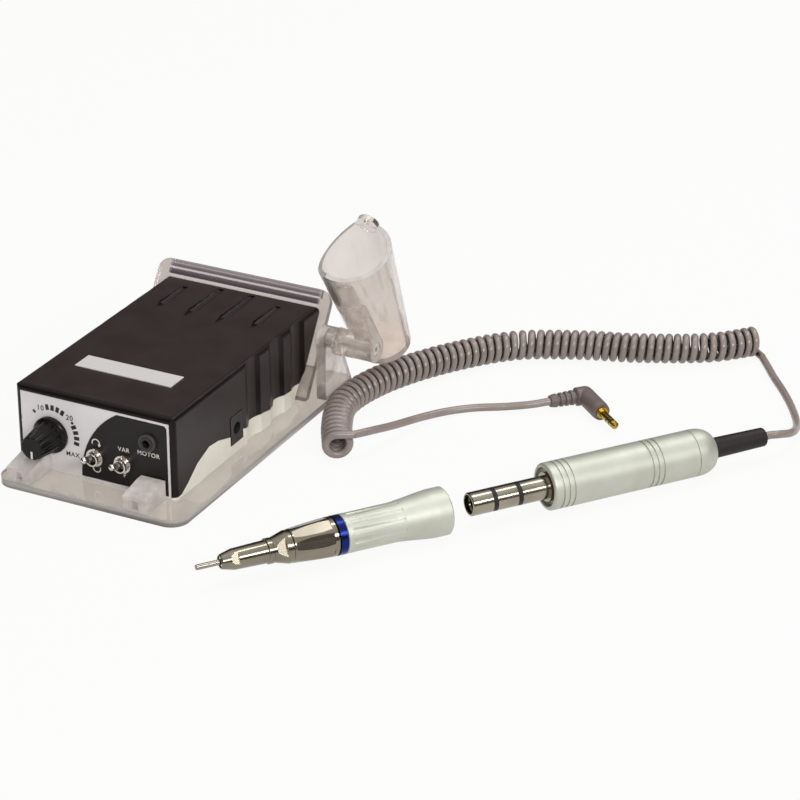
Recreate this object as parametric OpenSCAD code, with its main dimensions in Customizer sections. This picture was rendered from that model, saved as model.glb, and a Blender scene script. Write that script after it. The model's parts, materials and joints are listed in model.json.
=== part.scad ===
// Portable micromotor set: a control unit in a clear stand with a tilting holder cup,
// a handpiece motor on a coiled cord with its plug, and a straight handpiece in line with it.
// Millimetres. +X runs right along the front panel, +Y to the back, +Z up.
// The origin is the middle of the stand plate's underside.

/* [Stand] */
// Width of the stand plate
plate_w = 91; // [88:1:110]
// Depth of the stand plate
plate_d = 157; // [154:1:180]
// Thickness of the stand plate
plate_t = 3.2; // [2.4:0.2:6]
// Corner radius of the stand plate
plate_corner_r = 8; // [4:1:14]
// Distance from the plate's front edge to the panel face
panel_setback = 16.5; // [15:0.5:20]
// Gap between the control unit's side and the upright bracket
unit_side_gap = 6; // [3:0.25:10]
// Width of the leaning back wall
wall_w = 89; // [80:1:100]
// Thickness of the leaning back wall
wall_t = 3; // [2:0.2:4]
// Height of the back wall above the control unit, along its slope
wall_rise = 5.6; // [3:0.2:12]
// Gap between the control unit and the back wall
wall_gap = 2; // [1:0.25:3]
// Gap between the back wall and the upright bracket
bracket_gap = 3; // [2:0.25:5]
// Corner radius at the top of the back wall
wall_corner_r = 6; // [3:0.5:10]
// Depth of the bar along the back wall's top edge
bar_t = 2; // [1:0.25:3]
// Height of the bar along the back wall's top edge
bar_h = 4; // [2:0.5:5]
// Width of each front stop
stop_w = 11.6; // [10:0.2:16]
// Gap between the knob's skirt and the top of the front stops
knob_clear = 0.7; // [0.5:0.1:2]
// Drop of the front stops' top towards the front
stop_drop = 2.3; // [1:0.1:4]
// Distance between the front stops' middles
stop_spacing = 57; // [50:1:62]
// Side of the square pocket in each front stop
stop_pocket = 3.4; // [2:0.2:4]

/* [Holder] */
// Lean of the holder cup towards the front
cup_lean = 28; // [20:1:30]
// Length of the holder cup
cup_len = 63; // [50:1:64]
// Outside radius at the cup's closed end
cup_foot_r = 12.2; // [11.4:0.2:12.6]
// Outside radius at the cup's mouth
cup_mouth_r = 17.3; // [16:0.1:18]
// Wall of the holder cup
cup_wall = 2.2; // [1.6:0.1:3]
// Radius of the eyelet tab at the back of the mouth
eyelet_r = 5; // [4:0.25:6]
// Radius of the hole in the eyelet tab
eyelet_hole_r = 1.4; // [1:0.1:2]
// Pivot height above the plate
pivot_z = 27.6; // [26:0.2:32]
// Pivot distance behind the panel face
pivot_y = 117.7; // [112:0.1:119]
// Cup axis distance behind the pivot
cup_offset = 16.5; // [16.5:0.1:19]
// Length of the cup below the pivot
cup_drop = 17.6; // [10:0.2:18]
// Slope of the cut at the left of the cup's mouth
mouth_slope = 35; // [20:1:40]
// Length of the arm's hub along the pivot
arm_len = 18; // [17:0.2:20]
// Width of the arm where it leaves the hub
arm_w = 10; // [8:0.2:12]
// Width of the arm's upper part
spine_w = 7; // [5:0.2:8]
// Radius of the pivot bosses
pivot_boss_r = 6; // [5:0.25:6.5]
// Radius of the pivot screw's shank
pivot_screw_r = 1.5; // [1.25:0.05:1.6]
// Number of detent teeth on the pivot faces
pivot_teeth = 16; // [12:2:24]
// Depth of the detent teeth
tooth_depth = 0.8; // [0.4:0.1:1.2]
// Thickness of the upright bracket
bracket_t = 4.5; // [3.5:0.25:5]
// Distance from the upright bracket to the plate's right edge
bracket_edge = 0.5; // [0:0.25:2]

/* [Control unit] */
// Width of the control unit
unit_w = 78; // [76:1:84]
// Depth of the control unit along its top
unit_d = 128.5; // [126:0.5:132]
// Height of the control unit
unit_h = 38.2; // [37:0.2:42]
// Lean of the back face from upright
rear_lean = 32; // [24:1:33]
// Edge radius of the cover
edge_r = 2.6; // [2:0.2:3.4]
// Wall of the cover and the case
case_wall = 2; // [1.6:0.1:2.4]
// Gap at the line where the cover meets the case
parting_gap = 0.15; // [0.1:0.05:0.4]
// Width of the front panel
panel_w = 73; // [71:0.5:74]
// Height of the front panel
panel_h = 34.9; // [33:0.1:35]
// Thickness of the front panel
panel_t = 1.7; // [1.2:0.1:2.2]
// Step of the panel face behind the cover's rim
panel_recess = 0.3; // [0:0.1:0.6]
// Clearance round parts set into the casing
set_gap = 0.15; // [0.1:0.05:0.3]
// Thickness of the printed film on the panel
film_t = 0.25; // [0.15:0.05:0.4]
// Left edge of the film at the panel's foot
film_left = -7.2; // [-9:0.2:-6]
// Radius of the curved left edge of the film
film_arc_r = 38; // [36:1:44]
// Margin from the film to the panel's other edges
film_margin = 1.2; // [0.8:0.1:3]
// Corner radius of the film at its top right
film_corner_r = 1.8; // [1:0.1:3]
// Length of the label plate on the cover
label_w = 47.5; // [40:0.5:60]
// Depth of the label plate on the cover
label_d = 11; // [8:0.5:14]
// Distance from the panel face to the label plate's front edge
label_y = 25; // [16:0.5:40]
// Thickness of the label plate
label_t = 0.4; // [0.2:0.1:0.8]
// Number of grip grooves on the cover's top
groove_count = 4; // [2:1:4]
// Spacing of the grip grooves
groove_pitch = 16; // [12:0.5:18]
// Width of a grip groove at its widest
groove_w = 5.2; // [3:0.2:6]
// Radius of the upright finger flutes in the sides
flute_r = 14; // [10:0.5:16]
// Depth of the upright finger flutes
flute_depth = 1.5; // [0.6:0.1:1.6]

/* [Controls] */
// Speed knob place across the panel
knob_x = -21.4; // [-24:0.2:-20]
// Height of the speed knob above the unit's foot
knob_z = 17.7; // [14:0.2:20]
// Radius of the knob's skirt
knob_skirt_r = 8.2; // [7.6:0.1:9]
// Radius of the knob's body at the skirt
knob_base_r = 6.9; // [6.4:0.1:7.4]
// Radius of the knob's front face
knob_face_r = 5.4; // [5:0.1:6]
// Length of the knob
knob_len = 15.5; // [13:0.5:18]
// Number of grip flutes round the knob
knob_flutes = 14; // [10:1:18]
// Gap between the knob's skirt and the panel
knob_gap = 0.6; // [0.4:0.1:1.2]
// Radius of the control shaft
shaft_r = 3; // [2.5:0.1:3.1]
// Height of both toggle switches above the unit's foot
toggle_z = 12.1; // [10:0.1:14]
// Place of the direction switch across the panel
direction_x = 0.4; // [-1:0.1:2]
// Place of the mode switch across the panel
mode_x = 14.1; // [13:0.1:16]
// Radius of the toggle bush
toggle_bush_r = 3; // [2.8:0.1:3.2]
// Length of the toggle lever from its pivot
toggle_len = 9.8; // [8:0.2:14]
// Radius of the toggle lever's tip
toggle_tip_r = 1.5; // [1.2:0.1:1.8]
// Tilt of a toggle lever either side of straight out
toggle_tilt = 17; // [10:1:18]
// Place of the motor socket across the panel
socket_x = 26.2; // [25:0.1:27]
// Height of the motor socket above the unit's foot
socket_z = 24.5; // [22:0.1:26]
// Radius of the motor socket's bore
socket_bore_r = 1.8; // [1.76:0.01:1.9]
// Depth of the motor socket's bore
socket_depth = 16.5; // [16:0.5:18]
// Distance from the panel face to the charge socket
charge_y = 51; // [48:0.5:56]
// Height of the charge socket's middle above the unit's foot
charge_z = 11.5; // [11:0.1:13]
// Width of the charge socket's face
charge_w = 10.2; // [9:0.2:12]
// Height of the charge socket's face
charge_h = 13.4; // [11:0.2:14]
// Radius of the charge socket's bore
charge_bore_r = 2.8; // [2.75:0.05:3]
// Depth of the charge socket's bore
charge_depth = 10; // [8:0.5:10.5]

/* [Motor] */
// Outside diameter of the motor and of the handpiece's rear end
motor_d = 20.4; // [20:0.1:21]
// Wall of the motor housing
housing_wall = 2; // [1.6:0.1:2.2]
// Length of the motor housing
housing_len = 69.5; // [68:0.5:74]
// Length of the rear cap
cap_len = 11; // [9:0.5:14]
// Rounding of the rear cap, towards its middle
cap_round = 5.4; // [3:0.2:5.6]
// Length of the rear cap's rounding
cap_dome = 8.6; // [5:0.2:9]
// Diameter of the coupling nose
nose_d = 10.1; // [9.8:0.1:10.4]
// Length of the coupling nose
nose_len = 35.4; // [34:0.2:36]
// Radius of the collar behind the coupling nose
collar_r = 6.3; // [5.8:0.1:6.8]
// Radius of the recess in the housing's front
recess_r = 8.5; // [8:0.1:8.8]
// Depth of the recess in the housing's front
recess_depth = 2.4; // [1:0.1:3]
// Radius of the hollow in the coupling nose
nose_hollow_r = 3.4; // [3.3:0.1:3.7]
// Clearance of a running fit, on the radius
running_gap = 0.05; // [0.02:0.01:0.08]
// Distance from the nose's front to its first sealing ring
ring_first = 10.5; // [8:0.5:12]
// Distance between the sealing rings
ring_step = 11.5; // [8:0.5:14]
// Width of a sealing ring
ring_w = 2; // [1.4:0.1:2.4]
// Radius of the rotor shaft
rotor_shaft_r = 1.5; // [1.2:0.1:1.6]
// Length of the cord boot
boot_len = 26; // [20:1:30]
// Radius of the boot at the motor
boot_r = 4.5; // [4:0.1:5]

/* [Handpiece] */
// Length of the handpiece without the bur
hand_len = 99.5; // [98:0.5:104]
// Gap from the handpiece's rear end to the coupling nose, as laid out
hand_gap = 11.2; // [4:0.2:20]
// Radius of the handpiece's body behind the colour ring
hand_r = 8.3; // [8:0.1:8.6]
// Radius of the nose at its tip
tip_r = 3.1; // [3:0.1:3.4]
// Radius of the nose behind its front cone
nose_mid_r = 4.4; // [4.2:0.05:4.5]
// Length of the nose's front cone
nose_mid_at = 5.5; // [4:0.25:7]
// Radius of the nose before its step
nose_end_r = 4.8; // [4.7:0.05:5]
// Distance from the tip to the step in the nose
step_at = 19.6; // [18:0.2:21]
// Distance from the tip to the chuck ring
chuck_at = 30; // [29:0.5:31]
// Length of the chuck ring
chuck_len = 19.4; // [18:0.2:20]
// Front radius of the chuck ring
chuck_front_r = 7; // [6.8:0.05:7.3]
// Number of flats round the chuck ring
chuck_flats = 8; // [6:1:10]
// Width of the colour ring
colour_w = 3.2; // [3:0.1:5]
// Depth of the bore that takes the coupling nose
bore_depth = 36.7; // [36.6:0.1:37.5]
// Length of the front part of that bore, which is eased round the driven dog
eased_len = 8; // [7.6:0.1:9]
// Radius of the bur's shank
bur_r = 1.175; // [1.17:0.005:1.18]
// Length of the bur outside the handpiece
bur_out = 10.4; // [6:0.2:20]

/* [Cord] */
// Diameter of the cord
cord_d = 3.3; // [3:0.05:3.3]
// Radius of the coil at the middle of the cord
coil_r = 5.2; // [4.8:0.1:5.2]
// Number of whole turns in the coil
coil_turns = 63; // [50:1:63]
// Opening of the turns where the coil bends
coil_opening = 1.5; // [1:0.1:2]
// Length of the plug's metal pin
pin_len = 15.5; // [14:0.5:17]
// Radius of the plug's metal pin
pin_r = 1.75; // [1.74:0.01:1.76]

/* [Hidden] */
$fn = 64;
// Small overlap that lets a cut pass cleanly through a face
eps = 0.01;
// Reach of a cut that must pass well outside a piece
far = 300;

// Colours
clear = [0.86, 0.88, 0.88, 0.5];
black = "#1d1a19";
white = "#eceae4";
metal = "#b9bab4";
bright = "#c9c4bd";
gold = "#c9a244";
cord_grey = "#857a76";
rubber = "#201e1f";

// Fits
thread_gap = 0.02;
seat_gap = 0.1;

// Stand, derived
unit_y0 = -plate_d / 2 + panel_setback;
rear_slope = tan(rear_lean);
rear_foot_y = unit_d - unit_h * rear_slope;
wall_foot_y = rear_foot_y + wall_gap;
wall_len = unit_h / cos(rear_lean) + wall_rise;
stop_gap = 0.5;
stop_front_gap = 0.3;
stop_depth = panel_setback - stop_front_gap;
stop_front_w = 3.5;
stop_top_h = knob_z - knob_skirt_r - knob_clear;
stop_nose_h = stop_top_h - stop_drop;
pocket_depth = 1.5;

// Holder, derived
bracket_x0 = unit_w / 2 + unit_side_gap;
bracket_x1 = bracket_x0 + bracket_t;
unit_shift_x = plate_w / 2 - bracket_edge - bracket_x1;
wall_mid_x = bracket_x0 - bracket_gap - wall_w / 2;
foot_front = 5.7;
foot_back = 19.3;
boss_len = 4.5;
boss_x1 = bracket_x1 + boss_len;
tooth_t = 1.2;
tooth_proud = 0.3;
face_gap = 0.4;
arm_x0 = boss_x1 + face_gap;
arm_x1 = arm_x0 + arm_len;
cup_axis_in = 8.2;
cup_x = arm_x1 - cup_axis_in;
cup_floor_t = cup_wall + 0.3;
mouth_cut_x = -eyelet_r - 1;
arm_mid_x = arm_x1 - arm_w / 2;
arm_top = 30;
arm_proud = 2.2;
arm_reach = 12;
spine_top = cup_len - cup_drop - 1.4;
spine_proud = 1.2;
pivot_bore_r = pivot_screw_r + seat_gap;
screw_head_r = 2.8;
screw_head_h = 2.4;
head_gap = 0.3;
hex_r = 1.4;
hex_depth = 1;
nut_r = 3.2;
nut_h = 2.6;
nut_sink = 0.3;

// Control unit, derived
least_edge_r = 0.6;
panel_back_y = panel_recess + panel_t;
film_front_y = panel_recess - film_t;
label_shift_x = -1;
groove_depth = 1.5;
groove_front = 38;
groove_len = [28, 38];
groove_back = [1, 6];
groove_shift_x = -1;
groove_tip_r = 0.2;
flute_back = [22.5, 41.5, 62.5];
tongue_t = 1.2;
tongue_top = 14.5;
boss_split = 15;
boss_r = 3.5;
case_boss_r = 4;
boss_side = 6.5;
boss_rear = 12.6;
boss_front_y = 24;
screw_places = [for (y = [boss_front_y, rear_foot_y - boss_rear], side = [-1, 1])
    [side * (unit_w / 2 - boss_side), y]];
case_screw_r = 1.5;
case_screw_play = 0.2;
thread_depth = 6.4;
case_head_r = 2.8;
case_head_h = 2;
case_head_z = 1.4;
case_screw_len = boss_split - case_head_z + thread_depth;
rib_in = 2.4;
rib_w = 1.8;
rib_t = 2;
rib_low = 6;
board_z = 8;
board_t = 1.6;
board_y = [15, 34];
board_half_w = 26;
board_chips = [[[6, 5], [10, 8, 2.4]], [[26, 4], [14, 10, 1.6]]];
post_r = 2.5;
post_in = 3;
cell_r = 9.2;
cell_front_gap = 2;
cell_back_gap = 3.6;
cell_y0 = board_y[1] + cell_front_gap;
cell_y1 = rear_foot_y - cell_back_gap;
cell_pitch = 19.4;
cell_mid_x = -4.5;
cell_seat = 0.8;
cell_z = case_wall + cell_seat + cell_r + set_gap;
cell_cap_r = 3;
cell_cap_h = 1;
cradle_wall = 1.4;
cradle_in = 4;
cradle_h = 5;

// Black skirt's lower edge along each side: distance behind the panel face, height
skirt_edge = [[0, 1.2], [4.5, 1.2], [10, 4.2], [18, 9.6], [28, 13], [36, 12.2], [45, 9.4], [57, 8.4],
    [63, 6.3], [64, 8.8], [74, 8.4], [85, 6.3], [86, 9], [99, 8], [unit_d, 5.5]];

// Controls, derived
bush_out = 4.2;
nut_t = 1.8;
nut_wall = 1;
nut_slot_w = 1;
nut_slot_depth = 0.7;
toggle_body = [8, 9.5, 13];
toggle_tag = [2, 3.2, 0.8];
toggle_tag_pitch = 4.4;
toggle_pivot_y = -1.5;
toggle_bore_r = 2.35;
toggle_bore_past = 2.4;
toggle_root_r = 1.15;
toggle_ball_r = 1.9;
toggle_pin_r = 0.7;
toggle_pin_half = toggle_bore_r - 0.15;
socket_body = [9, 16, 9];
socket_nut_wall = 0.9;
socket_nut_in = 0.4;
charge_proud = 0.3;
charge_back = 2;
control_r = 8.2;
control_depth = 8.5;
control_back = 1;
control_bush_out = 3;
control_bush_wall = 0.45;
control_bush_r = shaft_r + running_gap + control_bush_wall;
control_hole_r = control_bush_r + set_gap;
control_nut_r = 5.2;
knob_skirt_t = 1.6;
knob_skirt_edge = 0.5;
knob_foot = 2.6;
knob_edge_r = 0.8;
knob_cavity_r = 5.6;
knob_cavity_depth = 4.6;
knob_face_t = 2.4;
knob_flute_r = 1.3;
knob_flute_out = 0.75;
knob_flute_at = 3;
shaft_in_control = 5;
shaft_back = panel_t + knob_gap + shaft_in_control;
shaft_end_gap = 0.3;
shaft_flat = 0.6;
pointer_w = 1;
pointer_t = 0.4;
pointer_edge = 0.7;
pointer_inner = 1.3;

// Tool axis: the cord end of the boot, the direction of the motor and its height
boot_end = [236, 92];
tool_angle = 52.7;
tool_z = motor_d / 2;
housing_in_r = motor_d / 2 - housing_wall;
motor_len = housing_len + cap_len;
nose_r = nose_d / 2;
nose_edge = 0.4;
nose_lip = 0.5;
nose_mouth = 2.4;
part_gap = 0.2;
rim_round = 1.2;
turned_w = 0.8;
turned_depth = 0.45;
turned_pitch = 2.6;
turned_count = 3;
turned_front = 4;
turned_rear = 22.9;
ring_sink = 0.05;
ring_depth = 0.8;
front_floor = 2;
front_wall = recess_depth + front_floor;
bearing_r = 4.7;
bearing_w = 4;
flange_r = housing_in_r - seat_gap;
flange_t = 4.9;
flange_z = front_wall + flange_t;
rear_bearing_z = housing_len - 12.5;
brush_len = 6;
brush_gap = 2;
brush_z = [rear_bearing_z - brush_gap - brush_len, rear_bearing_z - brush_gap];
brush_w = 2.4;
brush_h = 3;
brush_reach = 3.7;
brush_in_r = 3.15;
brush_hole_r = 4;
magnet_gap = 1.6;
magnet_t = 1.5;
magnet_z = [flange_z + bearing_w + magnet_gap, brush_z[0] - 1];
core_gap = 0.4;
core_front = 2;
core_back = 4;
core_slots = 7;
core_slot = [1.6, 1];
commutator_r = 3;
commutator_over = 0.5;
dog_at = 6.6;
dog_len = 8.8;
dog_gap = 0.4;
dog_slot = [2.8, 3];
shaft_in_dog = 1;
rotor_front = -nose_len + dog_at + dog_len - shaft_in_dog;
rotor_past = 2;
rotor_back = rear_bearing_z + bearing_w + rotor_past;
cap_bore_r = 3;
cap_hollow_r = 4;
cap_end_wall = 6.5;
cap_seat_lead = 0.5;
boot_in = 5;
boot_end_in = 0.4;
boot_round = 1;

// Handpiece, derived
hand_tip_z = -(nose_len + hand_gap + hand_len);
colour_at = chuck_at + chuck_len + part_gap;
colour_proud = 0.05;
sleeve_at = colour_at + colour_w + part_gap;
edge_cut = 0.3;
tip_cut = 0.4;
step_proud = 0.55;
step_w = 2.5;
shoulder_in = 0.1;
shoulder_w = 1.4;
spanner_turn = 62;
spanner_len = [3, 4];
spanner_depth = [0.65, 0.8];
tail_r = 5.8;
tail_hollow_r = 4.2;
tail_past = 6.5;
tail_end = sleeve_at + tail_past;
bore_r = nose_r + 2 * running_gap;
eased_r = bore_r + 0.4;
mouth_cut = 0.4;
rear_cut = 0.6;
nose_bore_r = 2.4;
nose_hollow_mid_r = 3.6;
bearing_seat_r = 3.2;
hand_bearing_w = 4;
front_bearing_at = 8;
rear_bearing_in = 1.8;
rear_bearing_at = sleeve_at - rear_bearing_in;
spindle_r = 2;
spindle_tail_r = 1.5;
spindle_in = 0.4;
spindle_step = 32.4;
driven_at = rear_bearing_at + 6;
driven_len = 4.4;
driven_r = 2.6;
driven_tongue = [4.8, 2.4, 7.4];
spindle_end = driven_at + 3.6;
bur_in = 28;
bur_edge = 0.5;
chuck_edge = 0.3;
chuck_rear_edge = 0.6;
flat_in = 0.1;
flat_at = 0.8;
flat_short = 3;
flat_w = 10;
flare_len = 18;
flare_rear = 6;
flare_ease = 0.4;
grip_count = 12;
grip_r = 2.6;
grip_depth = 0.5;
grip_at = 2.5;
grip_len = 23;
grip_slope = 1.3;

// Cord routes: hand-chosen points on the surface the set stands on
cord_r = cord_d / 2;
floor_z = cord_r + seat_gap;
coil_z = coil_r + floor_z;
coil_route = [[74, 7], [65, 23], [58, 40], [57, 54], [60, 70], [65, 84], [72, 98], [81, 112], [92, 126],
    [105, 137], [128, 148], [148, 155], [171, 166], [184, 175], [196, 188]];
motor_lead_route = [[241, 98.4, 9.6], [243.4, 106, 7.4], [242, 117, 4.4], [238, 128, 2.6],
    [231, 141, floor_z], [223, 153, floor_z], [214, 165, floor_z], [207, 175, floor_z]];
plug_lead_route = [[80.5, 12, 11.8], [83.5, 21, 10.2], [86.5, 35, 7], [91, 54, 3.6], [97, 67, 2],
    [106, 76, floor_z], [118, 82, 2.4], [128, 86.6, 3.6]];
plug_elbow = [146.6, 105];
plug_angle = -42;
plug_body_r = 4.2;
plug_z = plug_body_r + seat_gap;
plug_tail = 17;
plug_nose = 18;
plug_nose_cut = [0.3, 2];
tail_entry_r = 2.6;
tail_foot = [3, 1.6];
rib_count = 4;
rib_at = 3;
rib_step = 2.6;
rib_r = 3.1;
rib_grow = 0.12;
rib_cut = 0.8;
rib_gap = [0.4, 1.1, 1.5];
contact_gap = 0.8;
contact_shares = [0.55, 0.74];
contact_sink = 0.05;
pin_collar = [0.9, 1];

// Points of an arc about a centre, from one angle to another
function arc(cx, cy, r, a0, a1, n = 8) =
    [for (i = [0 : n]) let (a = a0 + (a1 - a0) * i / n) [cx + r * cos(a), cy + r * sin(a)]];

// Outline of a rectangle with round corners
function round_rect(w, d, r) = concat(
    arc(w / 2 - r, d / 2 - r, r, 0, 90),
    arc(-w / 2 + r, d / 2 - r, r, 90, 180),
    arc(-w / 2 + r, -d / 2 + r, r, 180, 270),
    arc(w / 2 - r, -d / 2 + r, r, 270, 360));

// Outline with round top corners that stands on a straight foot
function arch_outline(w, h, r) = concat(
    [[w / 2, 0]],
    arc(w / 2 - r, h - r, r, 0, 90),
    arc(-w / 2 + r, h - r, r, 90, 180),
    [[-w / 2, 0]]);

// Places the control unit's own frame: panel face, unit middle, plate top
module at_unit() {
    translate([unit_shift_x, unit_y0, plate_t]) children();
}

// Extrudes an outline of Y and Z along X
module along_x(x0, x1) {
    translate([x0, 0, 0]) rotate([90, 0, 90]) linear_extrude(x1 - x0) children();
}

// Extrudes an outline of X and Z along Y
module along_y(y0, y1) {
    translate([0, y1, 0]) rotate([90, 0, 0]) linear_extrude(y1 - y0) children();
}

// Round bar along X
module x_bar(x0, x1, y, z, r) {
    translate([x0, y, z]) rotate([0, 90, 0]) cylinder(h = x1 - x0, r = r);
}

// Round bar along Y
module y_bar(y0, y1, x, z, r) {
    translate([x, y1, z]) rotate([90, 0, 0]) cylinder(h = y1 - y0, r = r);
}

// Round tube along Z
module tube(z0, z1, r_out, r_in) {
    translate([0, 0, z0]) difference() {
        cylinder(h = z1 - z0, r = r_out);
        translate([0, 0, -1]) cylinder(h = z1 - z0 + 2, r = r_in);
    }
}

// Stand

module stand_plate() {
    color(clear) linear_extrude(plate_t) polygon(round_rect(plate_w, plate_d, plate_corner_r));
}

module back_wall() {
    color(clear) at_unit() difference() {
        translate([wall_mid_x, wall_foot_y, 0]) rotate([-rear_lean, 0, 0]) union() {
            along_y(0, wall_t) polygon(arch_outline(wall_w, wall_len, wall_corner_r));
            translate([-wall_w / 2, 0, -wall_t]) cube([wall_w, wall_t, 2 * wall_t]);
            translate([-wall_w / 2 + wall_corner_r, wall_t - eps, wall_len - bar_h])
                cube([wall_w - 2 * wall_corner_r, bar_t + eps, bar_h]);
        }
        translate([-far, -far, -far]) cube([2 * far, 2 * far, far]);
    }
}

module front_stops() {
    stop_profile = [[-stop_gap, 0], [-stop_gap, stop_top_h], [-stop_gap - stop_front_w, stop_top_h],
        [-stop_depth, stop_nose_h], [-stop_depth, 0]];
    color(clear) at_unit() for (side = [-1, 1])
        translate([side * stop_spacing / 2, 0, 0]) difference() {
            along_x(-stop_w / 2, stop_w / 2) polygon(stop_profile);
            translate([-stop_pocket / 2, -stop_depth - 1, (stop_nose_h - stop_pocket) / 2])
                cube([stop_pocket, pocket_depth + 1, stop_pocket]);
        }
}

// Star outline of the detent teeth
function detent_star() =
    [for (i = [0 : 2 * pivot_teeth - 1])
        let (a = 180 * i / pivot_teeth, r = pivot_boss_r + tooth_proud - (i % 2 == 0 ? 0 : tooth_depth))
        [r * cos(a), r * sin(a)]];

module detent_disc(x0, x1) {
    translate([0, pivot_y, pivot_z]) along_x(x0, x1) polygon(detent_star());
}

module holder_bracket() {
    ear = [pivot_boss_r * 0.9, pivot_boss_r * 0.44];
    web = [[pivot_y - foot_front, 0], [pivot_y + foot_back, 0], [pivot_y + ear[0], pivot_z + ear[1]],
        [pivot_y - ear[0], pivot_z - ear[1]]];
    color(clear) at_unit() difference() {
        union() {
            along_x(bracket_x0, bracket_x1) polygon(web);
            x_bar(bracket_x0, boss_x1 - tooth_t, pivot_y, pivot_z, pivot_boss_r);
            detent_disc(boss_x1 - tooth_t - eps, boss_x1);
        }
        x_bar(bracket_x0 - 1, boss_x1 + 1, pivot_y, pivot_z, pivot_bore_r);
        x_bar(bracket_x0 - 1, bracket_x0 + nut_sink + nut_h, pivot_y, pivot_z, nut_r + head_gap);
    }
}

module pivot_screw() {
    head_x = arm_x1 - screw_head_h;
    head_end = arm_x1 - face_gap;
    color(metal) at_unit() difference() {
        union() {
            x_bar(bracket_x0 + nut_sink, head_x + eps, pivot_y, pivot_z, pivot_screw_r);
            x_bar(head_x, head_end, pivot_y, pivot_z, screw_head_r);
        }
        translate([head_end - hex_depth, pivot_y, pivot_z]) rotate([0, 90, 0])
            cylinder(h = 2 * hex_depth, r = hex_r, $fn = 6);
    }
}

module pivot_nut() {
    color(metal) at_unit() difference() {
        translate([bracket_x0 + nut_sink, pivot_y, pivot_z]) rotate([0, 90, 0])
            cylinder(h = nut_h, r = nut_r, $fn = 6);
        x_bar(bracket_x0, bracket_x1, pivot_y, pivot_z, pivot_screw_r + thread_gap);
    }
}

// Holder cup, drawn in a frame whose Z is the cup's axis and whose origin is the pivot

module at_pivot() {
    at_unit() translate([cup_x, pivot_y, pivot_z]) rotate([cup_lean, 0, 0]) children();
}

module cup_outside(clearance) {
    translate([0, cup_offset, -cup_drop])
        cylinder(h = cup_len, r1 = cup_foot_r + clearance, r2 = cup_mouth_r + clearance);
}

module holder_cup() {
    taper = (cup_mouth_r - cup_foot_r) / cup_len;
    inner_foot_r = cup_foot_r - cup_wall + taper * cup_floor_t;
    color(clear) at_pivot() difference() {
        union() {
            cup_outside(0);
            translate([0, cup_offset + cup_mouth_r - cup_wall, cup_len - cup_drop]) rotate([-90, 0, 0])
                cylinder(h = cup_wall, r = eyelet_r);
        }
        translate([0, cup_offset, cup_floor_t - cup_drop])
            cylinder(h = cup_len - cup_floor_t, r1 = inner_foot_r, r2 = cup_mouth_r - cup_wall);
        translate([0, cup_offset, cup_len - cup_drop - eps])
            cylinder(h = eyelet_r, r = cup_mouth_r - cup_wall);
        translate([0, cup_offset, cup_len - cup_drop + eyelet_r * 0.4]) rotate([-90, 0, 0])
            cylinder(h = far, r = eyelet_hole_r);
        translate([mouth_cut_x, 0, cup_len - cup_drop]) rotate([0, -mouth_slope, 0])
            translate([-far, -far, 0]) cube([far, 2 * far, far]);
    }
}

// Front of the cup at a height above the pivot
function cup_front(z) = cup_offset - cup_foot_r - (cup_mouth_r - cup_foot_r) * (z + cup_drop) / cup_len;

// Round-topped upright along the cup's front
module arm_upright(width, top, proud) {
    profile = [[cup_front(0) - proud, 0], [cup_front(top) - proud, top], [arm_reach, top], [arm_reach, 0]];
    intersection() {
        along_x(arm_mid_x - width / 2, arm_mid_x + width / 2) polygon(profile);
        translate([arm_mid_x, 0, 0]) along_y(-far, far) polygon(arch_outline(width, top, width * 0.45));
    }
}

module holder_arm() {
    head_x = arm_x1 - screw_head_h - head_gap;
    color(clear) difference() {
        at_unit() union() {
            x_bar(arm_x0 + tooth_t, arm_x1, pivot_y, pivot_z, pivot_boss_r);
            detent_disc(arm_x0, arm_x0 + tooth_t + eps);
            translate([0, pivot_y, pivot_z]) rotate([cup_lean, 0, 0]) {
                arm_upright(arm_w, arm_top, arm_proud);
                arm_upright(spine_w, spine_top, spine_proud);
            }
        }
        at_pivot() cup_outside(seat_gap);
        at_unit() x_bar(arm_x0 - 1, arm_x1 + 1, pivot_y, pivot_z, pivot_bore_r);
        at_unit() x_bar(head_x, arm_x1 + 1, pivot_y, pivot_z, screw_head_r + head_gap);
    }
}

// Control unit casing

// Side outline of the casing, inset from the outside and open down to a base height
function case_side(inset, base) =
    let (r = max(edge_r - inset, least_edge_r), top = unit_h - inset, back = inset / cos(rear_lean))
    concat(
        [[inset, base]],
        arc(inset + r, top - r, r, 180, 90),
        arc(unit_d - back - (inset + r) * rear_slope - r / cos(rear_lean), top - r, r, 90, -rear_lean),
        [[unit_d - back - (unit_h - base) * rear_slope, base]]);

// Front outline of the casing, with its round top edges
function case_front(inset, base) =
    let (r = max(edge_r - inset, least_edge_r), half = unit_w / 2 - inset, top = unit_h - inset)
    concat(
        [[half, base]], arc(half - r, top - r, r, 0, 90), arc(-half + r, top - r, r, 90, 180),
        [[-half, base]]);

// Plan outline of the casing, with its round front corners
function case_plan(inset) =
    let (r = max(edge_r - inset, least_edge_r), half = unit_w / 2 - inset)
    concat(
        [[-half, unit_d + 1]], arc(-half + r, inset + r, r, 180, 270), arc(half - r, inset + r, r, 270, 360),
        [[half, unit_d + 1]]);

// Solid of the casing, inset from the outside
module case_form(inset, base) {
    intersection() {
        along_x(-unit_w, unit_w) polygon(case_side(inset, base));
        along_y(-1, unit_d + 1) polygon(case_front(inset, base));
        translate([0, 0, base]) linear_extrude(unit_h - base) polygon(case_plan(inset));
    }
}

// Everything below the skirt's edge, lowered by a gap
module below_skirt(gap) {
    edge = [for (p = skirt_edge) [p[0], p[1] - gap]];
    front = edge[0][1];
    back = edge[len(edge) - 1][1];
    along_x(-unit_w, unit_w)
        polygon(concat([[-far, -far], [-far, front]], edge, [[far, back], [far, -far]]));
}

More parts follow.
